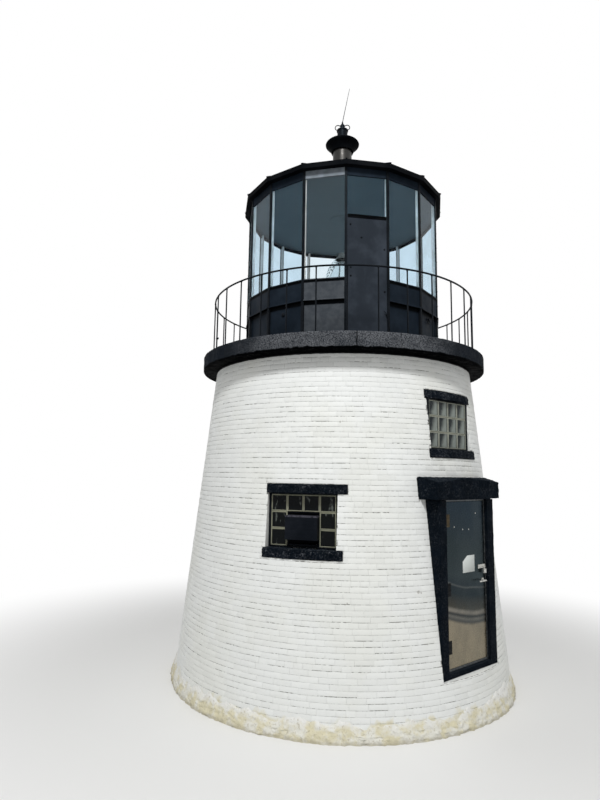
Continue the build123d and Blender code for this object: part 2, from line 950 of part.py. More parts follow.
def build():
    os.makedirs("parts", exist_ok=True)
    lower = (lower_window_angle, lower_window_sill_level, lower_window_plane)
    upper = (upper_window_angle, upper_window_sill_level, upper_window_plane)
    nodes = {
        "wall_base": wall_base(),
        "footing_skirt": footing_skirt(),
        "tower_floor": tower_floor(),
        "portal_jambs": together(portal_jamb(side) for side in (-1, 1)),
        "portal_lintel": portal_lintel(),
        "portal_sill": portal_sill(),
        "door_frame": door_frame(),
        "door_hinge_pins": together(fixed_hinge(level) for level in door_hinge_levels),
        "door_hinge_leaves": together(moving_hinge(level) for level in door_hinge_levels),
        "door_leaf": door_leaf(),
        "door_handle": door_handle(),
        "door_lock": door_lock(),
        "window_frames": together([iron_frame(*lower), iron_frame(*upper)]),
        "window_blocks": together(glass_blocks(*lower, skip=vent_bay) + glass_blocks(*upper, skip=[])),
        "window_mortar": together([mortar_grid(*lower, skip=vent_bay), mortar_grid(*upper, skip=[])]),
        "window_lintels": together(window_band(band) for band in window_lintels),
        "window_sills": together(window_band(band) for band in window_sills),
        "vent_louvre": vent_louvre(),
        "vent_hood": vent_hood(),
        "gallery_slab": gallery_slab(),
        "handrail": handrail(),
        "balusters": balusters(),
        "lantern_posts": lantern_posts(),
        "post_covers": post_covers(),
        "parapet_panels": parapet_panels(),
        "lantern_glass": lantern_glass(),
        "lantern_header": lantern_header(),
        "gallery_door": gallery_door(),
        "lantern_ceiling": lantern_ceiling(),
        "roof_edge": roof_edge(),
        "roof": roof(),
        "vent_stack": vent_stack(),
        "vent_cowl": vent_cowl(),
        "vent_finial": vent_finial(),
        "lens_pedestal": lens_pedestal(),
        "optic_lens": optic_lens(),
        "lens_cap": lens_cap(),
    }
    nodes.update(wall_pieces())
    for name, shape in nodes.items():
        write(name, shape)


build()
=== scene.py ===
import math
from functools import partial

import bmesh
import bpy
import numpy as np
from mathutils import Matrix, Vector
from mathutils.noise import fractal


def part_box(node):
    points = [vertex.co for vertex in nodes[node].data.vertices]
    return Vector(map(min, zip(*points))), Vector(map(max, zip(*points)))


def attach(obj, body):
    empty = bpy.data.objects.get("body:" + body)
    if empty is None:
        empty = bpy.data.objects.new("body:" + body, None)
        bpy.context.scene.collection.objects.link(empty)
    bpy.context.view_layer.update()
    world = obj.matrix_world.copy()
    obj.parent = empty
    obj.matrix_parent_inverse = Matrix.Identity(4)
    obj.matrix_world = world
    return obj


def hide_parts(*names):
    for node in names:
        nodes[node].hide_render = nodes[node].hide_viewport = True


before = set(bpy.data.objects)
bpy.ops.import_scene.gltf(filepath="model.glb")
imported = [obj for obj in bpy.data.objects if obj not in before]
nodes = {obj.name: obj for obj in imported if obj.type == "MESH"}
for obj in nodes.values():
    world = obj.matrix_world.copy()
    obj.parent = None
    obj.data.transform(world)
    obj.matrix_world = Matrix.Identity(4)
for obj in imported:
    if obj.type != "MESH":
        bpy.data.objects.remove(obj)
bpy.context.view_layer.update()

dice = np.random.default_rng(11)
bpy.context.tool_settings.mesh_select_mode = (False, True, False)  # edges

# Angles round the tower are degrees from the entrance door, positive towards +X.
tower = {"groundRadius": 2.397, "batter": 0.1037, "wallTop": 4.346, "deck": 4.571}


def wallRadius(level):
    return tower["groundRadius"] - tower["batter"] * level


def around(angle, radius, level):
    turn = math.radians(angle)
    return Vector((radius * math.sin(turn), -radius * math.cos(turn), level))


# helpers for pieces


def deselectAll():
    if bpy.context.object and bpy.context.object.mode != "OBJECT":
        bpy.ops.object.mode_set(mode="OBJECT")
    bpy.ops.object.select_all(action="DESELECT")


def pick(*objects):
    deselectAll()
    for piece in objects:
        piece.select_set(True)
    bpy.context.view_layer.objects.active = objects[0]


# edit mode, with everything selected or only what passes a test
def edit(piece, test=None, kind="faces"):
    pick(piece)
    bpy.ops.object.mode_set(mode="EDIT")
    bpy.ops.mesh.select_all(action="DESELECT" if test else "SELECT")
    if test:
        mesh = bmesh.from_edit_mesh(piece.data)
        for part in getattr(mesh, kind):
            if test(part):
                part.select_set(True)
        bmesh.update_edit_mesh(piece.data)


# the selected faces drawn in, and the ring within them moved
def insetStep(thickness, move):
    bpy.ops.mesh.inset(thickness=thickness)
    bpy.ops.transform.translate(value=move)


def applyModifier(piece, kind, **settings):
    pick(piece)
    modifier = piece.modifiers.new(kind.lower(), kind)
    for key, value in settings.items():
        setattr(modifier, key, value)
    bpy.ops.object.modifier_apply(modifier=modifier.name)


def bevelEdges(piece, width, segments=2):
    applyModifier(piece, "BEVEL", width=width, segments=segments, limit_method="ANGLE")


def settle(piece):
    pick(piece)
    bpy.ops.object.transform_apply(location=True, rotation=True, scale=True)
    return piece


def addCube(size, place=(0, 0, 0)):
    deselectAll()
    bpy.ops.mesh.primitive_cube_add(size=1, scale=size, location=place)
    return settle(bpy.context.object)


# a cylinder along Z, or along Y where it lies
def addCylinder(sides, radius, depth, place, lying=False):
    deselectAll()
    turn = (math.pi / 2 if lying else 0, 0, 0)
    bpy.ops.mesh.primitive_cylinder_add(
        vertices=sides, radius=radius, depth=depth, location=place, rotation=turn)
    return settle(bpy.context.object)


def addObject(name, data):
    added = bpy.data.objects.new(name, data)
    bpy.context.scene.collection.objects.link(added)
    return added


# a sphere, left in edit mode
def addSphere(rings, radius):
    deselectAll()
    bpy.ops.mesh.primitive_uv_sphere_add(segments=12, ring_count=rings, radius=radius)
    edit(bpy.context.object)
    return bpy.context.object


def meshPiece(name, points, faces):
    mesh = bpy.data.meshes.new(name)
    mesh.from_pydata([tuple(point) for point in points], [], faces)
    return addObject(name, mesh)


# the mesh of a shape that is modelled once and copied
def template(piece):
    settle(piece)
    points = np.array([vertex.co[:] for vertex in piece.data.vertices])
    faces = [list(face.vertices) for face in piece.data.polygons]
    bpy.data.objects.remove(piece)
    return points, faces


# adds a shape's mesh to lists of points and faces
def addShape(points, faces, newPoints, newFaces):
    shift = len(points)
    points.extend(newPoints.tolist())
    faces.extend([[corner + shift for corner in face] for face in newFaces])


# one piece of many copies, each with its own matrix
def copies(name, shape, places):
    points, faces = [], []
    for place in places:
        matrix = np.array(place)
        addShape(points, faces, shape[0] @ matrix[:3, :3].T + matrix[:3, 3], shape[1])
    return meshPiece(name, points, faces)


# a place on a face that looks out at an angle: sideways, outwards, up
def onFace(angle, along, out, level, spin=0):
    turn = Matrix.Rotation(math.radians(angle), 4, "Z")
    return turn @ Matrix.Translation((along, -out, level)) @ Matrix.Rotation(math.radians(spin), 4, "Y")


# how far a CAD node reaches outwards at an angle
def reach(name, angle):
    outward = around(angle, 1, 0)
    return max(vertex.co.dot(outward) for vertex in nodes[name].data.vertices)


def join(name, *pieces):
    pick(*pieces)
    bpy.ops.object.join()
    pieces[0].name = name
    return pieces[0]


def dress(piece, finishName="blackPaint", body="tower", angle=35):
    pick(piece)
    piece.data.materials.clear()
    piece.data.materials.append(finish[finishName])
    bpy.ops.object.shade_smooth_by_angle(angle=math.radians(angle))
    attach(piece, body)
    return piece


# helpers for materials: they work on the node tree begun last

current = {}


def startNodes(owner):
    owner.use_nodes = True
    current["tree"] = owner.node_tree


def startMaterial(name):
    material = bpy.data.materials.new(name)
    startNodes(material)
    return material


# links a socket or sets it; a colour gets its alpha here
def feed(socket, value):
    if isinstance(value, bpy.types.NodeSocket):
        current["tree"].links.new(value, socket)
    else:
        socket.default_value = (*value, 1) if socket.type == "RGBA" else value


def shader():
    return current["tree"].nodes["Principled BSDF"]


# the shader's sockets by name, with _ for a space
def setShader(**sockets):
    for name, value in sockets.items():
        feed(shader().inputs[name.replace("_", " ")], value)


def addNode(kind, inputs=None, **settings):
    node = current["tree"].nodes.new("ShaderNode" + kind)
    for key, value in settings.items():
        setattr(node, key, value)
    for key, value in (inputs or {}).items():
        feed(node.inputs[key], value)
    return node


def calc(operation, first, second=0):
    return addNode("Math", {0: first, 1: second}, operation=operation).outputs["Value"]


times, plus, minus, larger = [
    partial(calc, operation) for operation in ("MULTIPLY", "ADD", "SUBTRACT", "MAXIMUM")]


def vectorCalc(operation, *values):
    return addNode("VectorMath", dict(enumerate(values)), operation=operation).outputs["Value"]


def objectPlace():
    return addNode("TexCoord").outputs["Object"]


def objectAxes():
    return addNode("SeparateXYZ", {"Vector": objectPlace()}).outputs


def height():
    return objectAxes()["Z"]


def stretched(scale):
    return addNode("Mapping", {"Vector": objectPlace(), "Scale": scale}).outputs["Vector"]


# distance from the tower's axis
def fromAxis():
    return vectorCalc("LENGTH", stretched((1, 1, 0)))


def outAt(angle):
    return vectorCalc("DOT_PRODUCT", objectPlace(), around(angle, 1, 0))


def plainNormal():
    return addNode("NewGeometry").outputs["Normal"]


def facingUp():
    return addNode("SeparateXYZ", {"Vector": plainNormal()}).outputs["Z"]


def noise(scale, detail=4, stretch=(1, 1, 1), rough=0.55):
    inputs = {"Vector": stretched(stretch), "Scale": scale, "Detail": detail, "Roughness": rough}
    return addNode("TexNoise", inputs).outputs["Fac"]


def band(value, low, high, fromValue=0, toValue=1, curve="SMOOTHSTEP"):
    inputs = {"Value": value, "From Min": low, "From Max": high, "To Min": fromValue, "To Max": toValue}
    return addNode("MapRange", inputs, interpolation_type=curve).outputs["Result"]


# a value with noise added, for a ragged edge
def uneven(value, size, scale, detail=3):
    return plus(value, times(noise(scale, detail), size))


# noise about zero
def wander(size, scale, detail=4):
    return times(minus(noise(scale, detail), 0.5), size)


def blendColor(factor, first, second):
    return addNode("Mix", {0: factor, 6: first, 7: second}, data_type="RGBA").outputs[2]


# a colour laid over the shader's own where a mask is 1
def overlay(mask, color, share=1):
    base = shader().inputs["Base Color"]
    below = base.links[0].from_socket if base.is_linked else base.default_value[:3]
    setShader(Base_Color=blendColor(mask if share == 1 else times(mask, share), below, color))


# a value read off along (position, colour) stops
def ramp(value, stops):
    node = addNode("ValToRGB", {"Fac": value})
    while len(node.color_ramp.elements) < len(stops):
        node.color_ramp.elements.new(0.5)
    for element, (position, color) in zip(node.color_ramp.elements, stops):
        element.position = position
        element.color = (*color, 1)
    return node.outputs["Color"]


def bump(relief, strength, distance, normal=None):
    inputs = {"Height": relief, "Strength": strength, "Distance": distance}
    if normal is not None:
        inputs["Normal"] = normal
    return addNode("Bump", inputs).outputs["Normal"]


# bumps of noise, the finest first: scale, detail, strength, distance, stretch
def roughen(layers, normal=None):
    for scale, detail, strength, distance, *stretch in layers:
        normal = bump(noise(scale, detail, *stretch), strength, distance, normal)
    setShader(Normal=normal)


def dullPatches(patches, low, spread, start=0.3, end=0.7):
    setShader(Roughness=band(patches, start, end, low, low + spread))


# more relief over the shader's own
def emboss(relief, strength, distance):
    setShader(Normal=bump(relief, strength, distance, shader().inputs["Normal"].links[0].from_socket))


def roundNormal(radius):
    return addNode("Bevel", {"Radius": radius}, samples=4).outputs["Normal"]


# 1 along worn edges
def edgeMask(soft):
    return band(vectorCalc("DOT_PRODUCT", soft, plainNormal()), 0.985, 0.8)


# 1 close to a place, with a ragged outline
def mark(place, size):
    away = vectorCalc("DISTANCE", objectPlace(), place)
    return band(uneven(away, size * 1.2, 60), size * 1.5, size * 0.9)


# a colour times a factor, with some of another colour added
def lighter(color, factor, other=(0, 0, 0), amount=1):
    return [min(1, channel * factor + amount * extra) for channel, extra in zip(color, other)]


# materials

lanternLevels = {
    "ledge": 5.165, "sill": 5.48, "doorTop": 6.369, "header": 6.85, "ceiling": 6.995, "top": 7.06,
}

# tints laid on reflections, as painted reflection: the cool and sheet ones bluish for a mirrored sky, the
# warm one for a warm highlight
reflectionTint = {"cool": (0.62, 0.82, 1), "warm": (1, 0.96, 0.91), "sheet": (0.8, 0.92, 1)}

tones = {
    "wallWhite": (0.82, 0.835, 0.82), "openBed": (0.25, 0.25, 0.235), "cream": (0.71, 0.67, 0.5),
    "bareBrick": (0.2, 0.17, 0.14), "wallTopBlack": (0.004, 0.005, 0.006), "rust": (0.1, 0.042, 0.02),
    "foldHighlight": (0.075, 0.073, 0.09), "fold": (0.0012, 0.0014, 0.0018), "litBayPanel": (0.07, 0.078, 0.088),
    "litBayHeader": (0.2, 0.23, 0.26), "postShade": (0.005, 0.006, 0.007), "recess": (0.014, 0.018, 0.018),
    "coatLowerShaded": (0.185, 0.188, 0.14), "coatUpperLit": (0.3, 0.315, 0.275), "glintGrains": (0.16, 0.17, 0.188),
    "slabGlints": (0.158, 0.166, 0.18), "slabSeamAndRimShade": (0.0006, 0.0008, 0.0011),
    "steelStain": (0.2, 0.12, 0.07), "lowerHingeBlack": (0.01, 0.011, 0.012),
    "glassRoomShade": (0.03, 0.04, 0.043), "glassLitWall": (0.36, 0.4, 0.37), "roomShade": (0.006, 0.008, 0.009),
    "glassHighlightStreak": (0.3, 0.33, 0.3), "doorCloud": (0.034, 0.04, 0.04), "doorStain": (0.1, 0.105, 0.1),
    "mortarCream": (0.7, 0.655, 0.475), "mortarPale": (0.77, 0.76, 0.69),
    "mortarWhite": (0.8, 0.8, 0.77), "mortarPit": (0.4, 0.35, 0.24), "mortarFoot": (0.33, 0.3, 0.22),
}

scars = [  # small knocks in the brick: angle, level, size
    (-44.3, 3.461, 0.02), (-43.4, 3.47, 0.012), (-20.5, 1.509, 0.028), (-19.6, 1.498, 0.018),
    (-42.6, 1.386, 0.016), (-41.9, 1.4, 0.014),
]


# white paint on brick, stained cream at the foot, with dark grey painted into the open bed joints as painted
# shade, and black along the wall's top edge under the slab
def whitePaint(bed=None):
    color = tones["wallWhite"]
    setShader(Base_Color=color, Roughness=0.62, Specular_IOR_Level=0.3)
    warm = [channel * share for channel, share in zip(color, (0.975, 0.97, 0.945))]
    grime = lighter(color, 0.62)
    overlay(band(noise(1.1), 0.4, 0.66), warm)
    overlay(band(noise(6, 5, (1, 1, 0.1)), 0.6, 0.8), grime, 0.08)
    overlay(band(noise(46, 3, (1, 1, 1.8)), 0.66, 0.76), grime, 0.26)
    for angle, level, size in scars:
        overlay(mark(around(angle, wallRadius(level), level), size), tones["bareBrick"], 0.5)
    overlay(band(uneven(height(), 0.6, 4.5, 6), 0.52, 0.4), tones["cream"])
    # painted shade: dark grey on the wall behind the bricks, near its face, where the open bed joints show
    if bed:
        face = plus(fromAxis(), times(height(), tower["batter"]))
        face = band(face, tower["groundRadius"] - 0.014, tower["groundRadius"] - 0.006)
        overlay(times(face, band(noise(26, 3, (1, 1, 1.5)), 0.36, 0.6)), bed)
    # black along the top 15 mm of the wall, under the slab
    topEdgeBand = band(uneven(height(), 0.01, 22), tower["wallTop"] - 0.017, tower["wallTop"] - 0.013)
    overlay(topEdgeBand, tones["wallTopBlack"])
    roughen([(95, 3, 0.45, 0.003), (24, 4, 0.42, 0.006)])


# brushed-on paint over plate: faint dents, dull patches, rubbed edges, a little rust
def metalPaint(color, roughness, gloss, rust=0.15, dust=0.5, dustTone=0.03, fade=1, tint=reflectionTint["cool"]):
    setShader(Base_Color=color, Specular_IOR_Level=gloss, IOR=1.3, Specular_Tint=tint)
    soft = roundNormal(0.006)
    dusty = lighter(color, 1, (0.8, 0.95, 1.15), dustTone)
    overlay(band(noise(3, 5), 0.38, 0.68), lighter(color, 1 + 0.6 * fade, (0.003, 0.003, 0.003)))
    overlay(band(facingUp(), 0.35, 0.95), dusty, dust)
    overlay(band(noise(11, 5, (1, 1, 0.12)), 0.58, 0.78), dusty, 0.35 * dust)
    paleMask = times(edgeMask(soft), band(noise(30), 0.42, 0.6))
    overlay(paleMask, lighter(color, 2.2, (0.017, 0.02, 0.023)), 0.55)
    overlay(band(noise(17, 6, (1, 1, 0.6)), 0.7, 0.76), tones["rust"], rust)
    dullPatches(noise(6, 5), roughness, 0.22)
    roughen([(85, 4, 0.28, 0.0025, (1, 1, 0.5)), (2.6, 2, 0.1 * fade, 0.03)], soft)


# the hood's sheet, pressed into shallow ribs across, with a painted highlight along its upper fold
def hoodPaint(foldWidth, ribPitch, **coat):
    metalPaint(**coat)
    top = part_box("vent_hood")[1][2]
    # painted highlight: a pale band along the hood's top fold
    fold = band(height(), top - foldWidth, top - 0.6 * foldWidth)
    overlay(times(fold, band(noise(30), 0.3, 0.6)), tones["foldHighlight"])
    emboss(calc("SINE", times(height(), math.tau / ribPitch)), 0.3, 0.002)


# 1 on the lantern bay that faces the camera and the key light, where light is painted
def litBay():
    return band(calc("DIVIDE", outAt(-53.2), fromAxis()), 0.9805, 0.981)


# the lantern's plates: painted shadow in black under sill and ledge, and painted light in grey on the bay
# that faces the light
def panelPaint(foldShadows, **coat):
    metalPaint(**coat)
    # painted light: the plates and header of the bay facing the light made grey and patchy
    litBayMask = times(litBay(), band(noise(9, 5, rough=0.6), 0.35, 0.65, 0.65, 1))
    overlay(litBayMask, tones["litBayPanel"])
    header = band(height(), lanternLevels["header"] - 0.01, lanternLevels["header"])
    overlay(times(litBayMask, header), tones["litBayHeader"])
    # painted shadow: near-black bands under the sill and the ledge, ragged along their lower edge
    for level, depth in foldShadows:
        foot = band(uneven(height(), 0.012, 20), level - depth, level - depth + 0.01)
        overlay(times(band(height(), level + 0.004, level), foot), tones["fold"])


# white behind the glass, with painted shadow in black where the posts show beside the recessed lower plates
def postPaint(outside, **coat):
    metalPaint(**coat)
    below = band(height(), lanternLevels["sill"] + 0.004, lanternLevels["sill"] - 0.004)
    overlay(times(band(fromAxis(), *outside), below), tones["postShade"])


# stippled cement under paint, dusty where it faces up
def roughCement(color, grain, depth=0.002, dust=0.1, speck=0.05, gloss=0.2, roughness=0.55):
    setShader(Base_Color=color, Specular_IOR_Level=gloss, IOR=1.25, Specular_Tint=reflectionTint["cool"])
    soft = roundNormal(0.01)
    pale = lighter(color, 2, (0.85, 0.97, 1.1), speck)
    overlay(band(noise(4, 5), 0.4, 0.68), lighter(color, 1.5))
    overlay(band(noise(grain * 1.3, 2), 0.56, 0.66), pale, 0.6)
    overlay(band(facingUp(), 0.3, 0.95), pale, dust)
    overlay(edgeMask(soft), pale, 0.35)
    dullPatches(noise(9), roughness, 0.25)
    roughen([(grain * 3, 3, 0.4, depth * 0.3), (grain, 2, 0.9, depth)], soft)


# the coat round the glass blocks: painted shade on it in the lower window, darkest deep within, and painted
# light on it in the upper one
def blockPaint(angle, front, **coat):
    roughCement(**coat)
    lower = band(height(), 2.8, 2.7)
    overlay(lower, tones["coatLowerShaded"], 0.6)
    overlay(minus(1, lower), tones["coatUpperLit"], 0.8)
    overlay(times(band(outAt(angle), front, front - 0.01), lower), tones["recess"])


# the black cement round door and windows, with scattered bright grains that are painted highlights on the
# stipple
def openingCement(glintShare, **coat):
    roughCement(**coat)
    patches = band(noise(7, 3), 0.4, 0.6, 0.15 * glintShare, glintShare)
    overlay(times(band(noise(58, 4, rough=0.75), 0.5, 0.66), patches), tones["glintGrains"])


# the slab: bright glints painted as highlights, strongest towards the front that faces the light, seams
# between its pours, and painted shade in black along its lower rim
def slabCement(seams, front, **coat):
    roughCement(**coat)
    axes = objectAxes()
    turn = plus(calc("ARCTAN2", axes["X"], times(axes["Y"], -1)), wander(0.008, 9))

    def fromAngle(angle):
        return calc("ABSOLUTE", minus(turn, math.radians(angle)))

    line = 0
    for seam, depth in seams:
        line = larger(line, band(fromAngle(seam), 0.0045, 0.0015, 0, depth))
    # painted highlights: glints in patches, fading away from the front that faces the light
    paleMask = band(noise(5), 0.3, 0.62, 0.55, 1)
    paleMask = times(paleMask, band(fromAngle(front), 0.85, 0.35, 0.12, 1))
    overlay(times(band(noise(70, 4, rough=0.8), 0.37, 0.6), paleMask), tones["slabGlints"])
    # painted shade: near black along the slab's lower rim; the seams take the same colour
    rim = band(uneven(axes["Z"], 0.05, 14, 4), tower["wallTop"] + 0.066, tower["wallTop"] + 0.048)
    overlay(larger(line, rim), tones["slabSeamAndRimShade"])
    emboss(minus(1, line), 0.6, 0.006)


# mortar thrown round the foot: white coats over cream and dirty hollows
def footMortar():
    setShader(Base_Color=tones["mortarCream"], Roughness=0.8, Specular_IOR_Level=0.2)
    overlay(band(noise(7, 5), 0.42, 0.6), tones["mortarPale"])
    overlay(band(uneven(height(), 0.26, 9, 5), 0.24, 0.34), tones["mortarWhite"])
    overlay(band(noise(34), 0.56, 0.7), tones["mortarPit"], 0.55)
    overlay(band(uneven(height(), 0.1, 16, 4), 0.105, 0.045), tones["mortarFoot"], 0.6)
    roughen([(90, 3, 0.5, 0.004), (30, 4, 0.8, 0.014)])


def wornSteel(color, roughness):
    setShader(Base_Color=color, Metallic=1)
    overlay(band(noise(24, 5), 0.38, 0.66), lighter(color, 0.62))
    overlay(band(noise(60), 0.66, 0.74), tones["steelStain"], 0.4)
    dullPatches(noise(40), roughness, 0.2)
    roughen([(400, 2, 0.12, 0.0006, (1, 0.05, 1))], roundNormal(0.003))


# bronze at the top hinge, black at the two below
def hingeMetal(**metal):
    wornSteel(**metal)
    overlay(band(height(), 2.1, 1.95), tones["lowerHingeBlack"])


# dull sheet steel with a painted reflection: blue-black above, wavy bright bands at the middle, tan towards
# the foot, as a mirrored sky and ground bent by its dents
def doorSheet():
    setShader(Metallic=0.85, Specular_Tint=reflectionTint["sheet"])
    across = objectAxes()["X"]
    wave = plus(times(calc("COSINE", times(across, 5.2)), 0.021), times(across, 0.17))
    level = plus(plus(height(), wave), wander(0.05, 2.6, 3))
    paintedReflection = ramp(band(level, 0.5, 2.5, curve="LINEAR"), [
        (0, (0.3, 0.255, 0.178)), (0.2, (0.272, 0.23, 0.16)), (0.286, (0.25, 0.212, 0.15)),
        (0.303, (0.06, 0.058, 0.052)), (0.322, (0.13, 0.122, 0.104)), (0.338, (0.018, 0.018, 0.017)),
        (0.352, (0.18, 0.162, 0.134)), (0.362, (0.19, 0.172, 0.144)), (0.378, (0.045, 0.04, 0.028)),
        (0.41, (0.03, 0.027, 0.02)), (0.46, (0.006, 0.01, 0.012)), (0.497, (0.008, 0.012, 0.014)),
        (0.505, (0.07, 0.074, 0.07)), (0.513, (0.01, 0.015, 0.018)), (0.56, (0.018, 0.025, 0.026)),
        (0.74, (0.012, 0.018, 0.019)), (0.82, (0.01, 0.016, 0.02)), (1, (0.006, 0.013, 0.021)),
    ])
    cloudy = blendColor(band(noise(3.4, 3, (1, 1, 0.5)), 0.4, 0.7), paintedReflection, tones["doorCloud"])
    setShader(Base_Color=blendColor(0.3, paintedReflection, cloudy))
    overlay(band(noise(20, 3, (1, 1, 0.3)), 0.62, 0.8), tones["doorStain"], 0.08)
    dullPatches(noise(14, 5), 0.2, 0.16)
    dents, brushed = (2.4, 1, 0.35, 0.02, (1, 1, 1.6)), (180, 2, 0.02, 0.0006, (1, 1, 0.04))
    roughen([dents, brushed], roundNormal(0.002))


def clearGlass(color, density, roughness=0, smear=0.03):
    setShader(Base_Color=color, Transmission_Weight=1, IOR=density)
    overlay(band(noise(2), 0.35, 0.7), lighter(color, 0.93))
    dullPatches(noise(5, 6), roughness, smear, 0.45, 0.75)
    roughen([(3, 1, 0.04, 0.01)])


# the lantern's bluish panes, with the one in the bay that faces the light left untinted, as painted light
def paneGlass(**glass):
    clearGlass(**glass)
    overlay(litBay(), (1, 1, 1))


# glass blocks: in the upper window painted light towards each block's right foot, where a lit inner wall
# shows, and painted shade elsewhere for the dark room behind; in the lower one painted shade with a few
# streaks of painted highlight
def blockGlass(pitch, sill):
    setShader(Transmission_Weight=0.4, IOR=1.16)
    axes = objectAxes()
    across = calc("FRACT", plus(calc("DIVIDE", axes["X"], pitch), 8))
    upward = calc("FRACT", calc("DIVIDE", minus(axes["Z"], sill - 16 * pitch), pitch))
    litWall = band(uneven(minus(across, times(upward, 0.4)), 0.3, 14), 0.3, 0.8)
    upper = blendColor(litWall, tones["glassRoomShade"], tones["glassLitWall"])
    highlightStreak = band(noise(15, 3, (1, 1, 0.4)), 0.6, 0.68, 0, 0.45)
    lower = blendColor(highlightStreak, tones["roomShade"], tones["glassHighlightStreak"])
    setShader(Base_Color=blendColor(band(axes["Z"], 2.8, 2.7), upper, lower))
    dullPatches(noise(5, 6), 0.04, 0.08, 0.4, 0.7)
    roughen([(9, 2, 0.35, 0.01)])


blackCast = dict(color=(0.0024, 0.0042, 0.007), grain=75, depth=0.016, dust=0.35, speck=0.014, gloss=0.05)

makers = {  # finish: the function that makes it, and its settings
    "brickPaint": (whitePaint, {}),
    "bedShadePaint": (whitePaint, dict(bed=tones["openBed"])),
    "blackPaint": (metalPaint, dict(
        color=(0.004, 0.005, 0.0066), roughness=0.36, rust=0.12, dust=0.4, gloss=0.12, dustTone=0.022)),
    "deepBlack": (metalPaint, dict(
        color=(0.0022, 0.0026, 0.0034), roughness=0.48, rust=0.12, dust=0.3, gloss=0.03, dustTone=0.01)),
    "stackPaint": (metalPaint, dict(
        color=(0.009, 0.009, 0.009), roughness=0.31, rust=0.2, dust=0.15, gloss=0.8, tint=reflectionTint["warm"])),
    "platePaint": (metalPaint, dict(
        color=(0.02, 0.0245, 0.032), roughness=0.32, gloss=0.17, rust=0.25)),
    "signPlate": (metalPaint, dict(
        color=(0.6, 0.63, 0.61), roughness=0.7, rust=0.05, dust=0.1, gloss=0.05, fade=0.12)),
    "ceilingPaint": (metalPaint, dict(
        color=(0.12, 0.165, 0.19), roughness=0.5, rust=0, dust=0, gloss=0.1, dustTone=0, fade=0.15)),
    "greyPaint": (metalPaint, dict(color=(0.14, 0.16, 0.16), roughness=0.4, rust=0.1, dust=0.2, gloss=0.4)),
    "panelPaint": (panelPaint, dict(
        color=(0.007, 0.011, 0.017), roughness=0.4, gloss=0.09, dustTone=0.02,
        foldShadows=[(5.462, 0.034), (5.168, 0.05)])),
    "hoodPaint": (hoodPaint, dict(
        color=(0.0045, 0.0055, 0.008), roughness=0.36, gloss=0.1, dustTone=0.02,
        foldWidth=0.02, ribPitch=0.052)),
    "postPaint": (postPaint, dict(
        color=(0.76, 0.77, 0.74), roughness=0.45, gloss=0.3, dust=0.1, outside=(1.478, 1.484))),
    "blackCement": (openingCement, dict(glintShare=0.7, **blackCast)),
    "portalCement": (openingCement, dict(glintShare=0.22, **blackCast)),
    # the slab's blue-black: the blue stands for sky light in its shade, as painted light
    "slabCement": (slabCement, dict(
        color=(0.004, 0.0062, 0.0098), grain=62, depth=0.022, dust=0.3, speck=0.016, gloss=0.02,
        roughness=0.5, seams=[(-39, 1), (-24, 0.45), (62, 1), (150, 1), (-128, 1)], front=-42)),
    "floorCement": (roughCement, dict(color=(0.24, 0.235, 0.22), grain=40)),
    "jointMortar": (roughCement, dict(color=(0.3, 0.295, 0.225), grain=90)),
    "blockCoat": (blockPaint, dict(
        color=(0.3, 0.3, 0.225), grain=40, speck=0.06, angle=-56.65, front=2.026)),
    "footMortar": (footMortar, {}),
    "doorSheet": (doorSheet, {}),
    "steel": (wornSteel, dict(color=(0.6, 0.6, 0.57), roughness=0.46)),
    "frameSteel": (wornSteel, dict(color=(0.14, 0.15, 0.155), roughness=0.45)),
    "hingeBronze": (hingeMetal, dict(color=(0.085, 0.064, 0.036), roughness=0.48)),
    "blockGlass": (blockGlass, dict(pitch=0.203, sill=3.184)),
    "paneGlass": (paneGlass, dict(color=(0.76, 0.87, 0.94), density=1.13)),
    "lensGlass": (clearGlass, dict(color=(0.8, 0.86, 0.88), density=1.035, roughness=0.06, smear=0.1)),
}
finish = {}
for name, (make, settings) in makers.items():
    finish[name] = startMaterial(name)
    make(**settings)

nodeFinish = {
    "bedShadePaint": " ".join(name for name in nodes if name.startswith("wall_")),
    "blackPaint": "window_frames vent_louvre handrail balusters post_covers vent_finial",
    "deepBlack": "roof_edge roof vent_cowl",
    "platePaint": "gallery_door",
    "panelPaint": "parapet_panels lantern_header",
    "hoodPaint": "vent_hood",
    "stackPaint": "vent_stack",
    "doorSheet": "door_leaf",
    "postPaint": "lantern_posts",
    "ceilingPaint": "lantern_ceiling",
    "greyPaint": "lens_pedestal lens_cap",
    "blackCement": "window_lintels window_sills",
    "portalCement": "portal_jambs portal_lintel portal_sill",
    "slabCement": "gallery_slab",
    "floorCement": "tower_floor",
    "jointMortar": "window_mortar",
    "footMortar": "footing_skirt",
    "steel": "door_handle door_lock",
    "frameSteel": "door_frame",
    "hingeBronze": "door_hinge_pins door_hinge_leaves",
    "blockGlass": "window_blocks",
    "paneGlass": "lantern_glass",
    "lensGlass": "optic_lens",
}
for finishName, names in nodeFinish.items():
    for name in names.split():
        nodes[name].data.materials.clear()
        nodes[name].data.materials.append(finish[finishName])
print("finishes set")


# brickwork, cut where it meets the portal and the windows

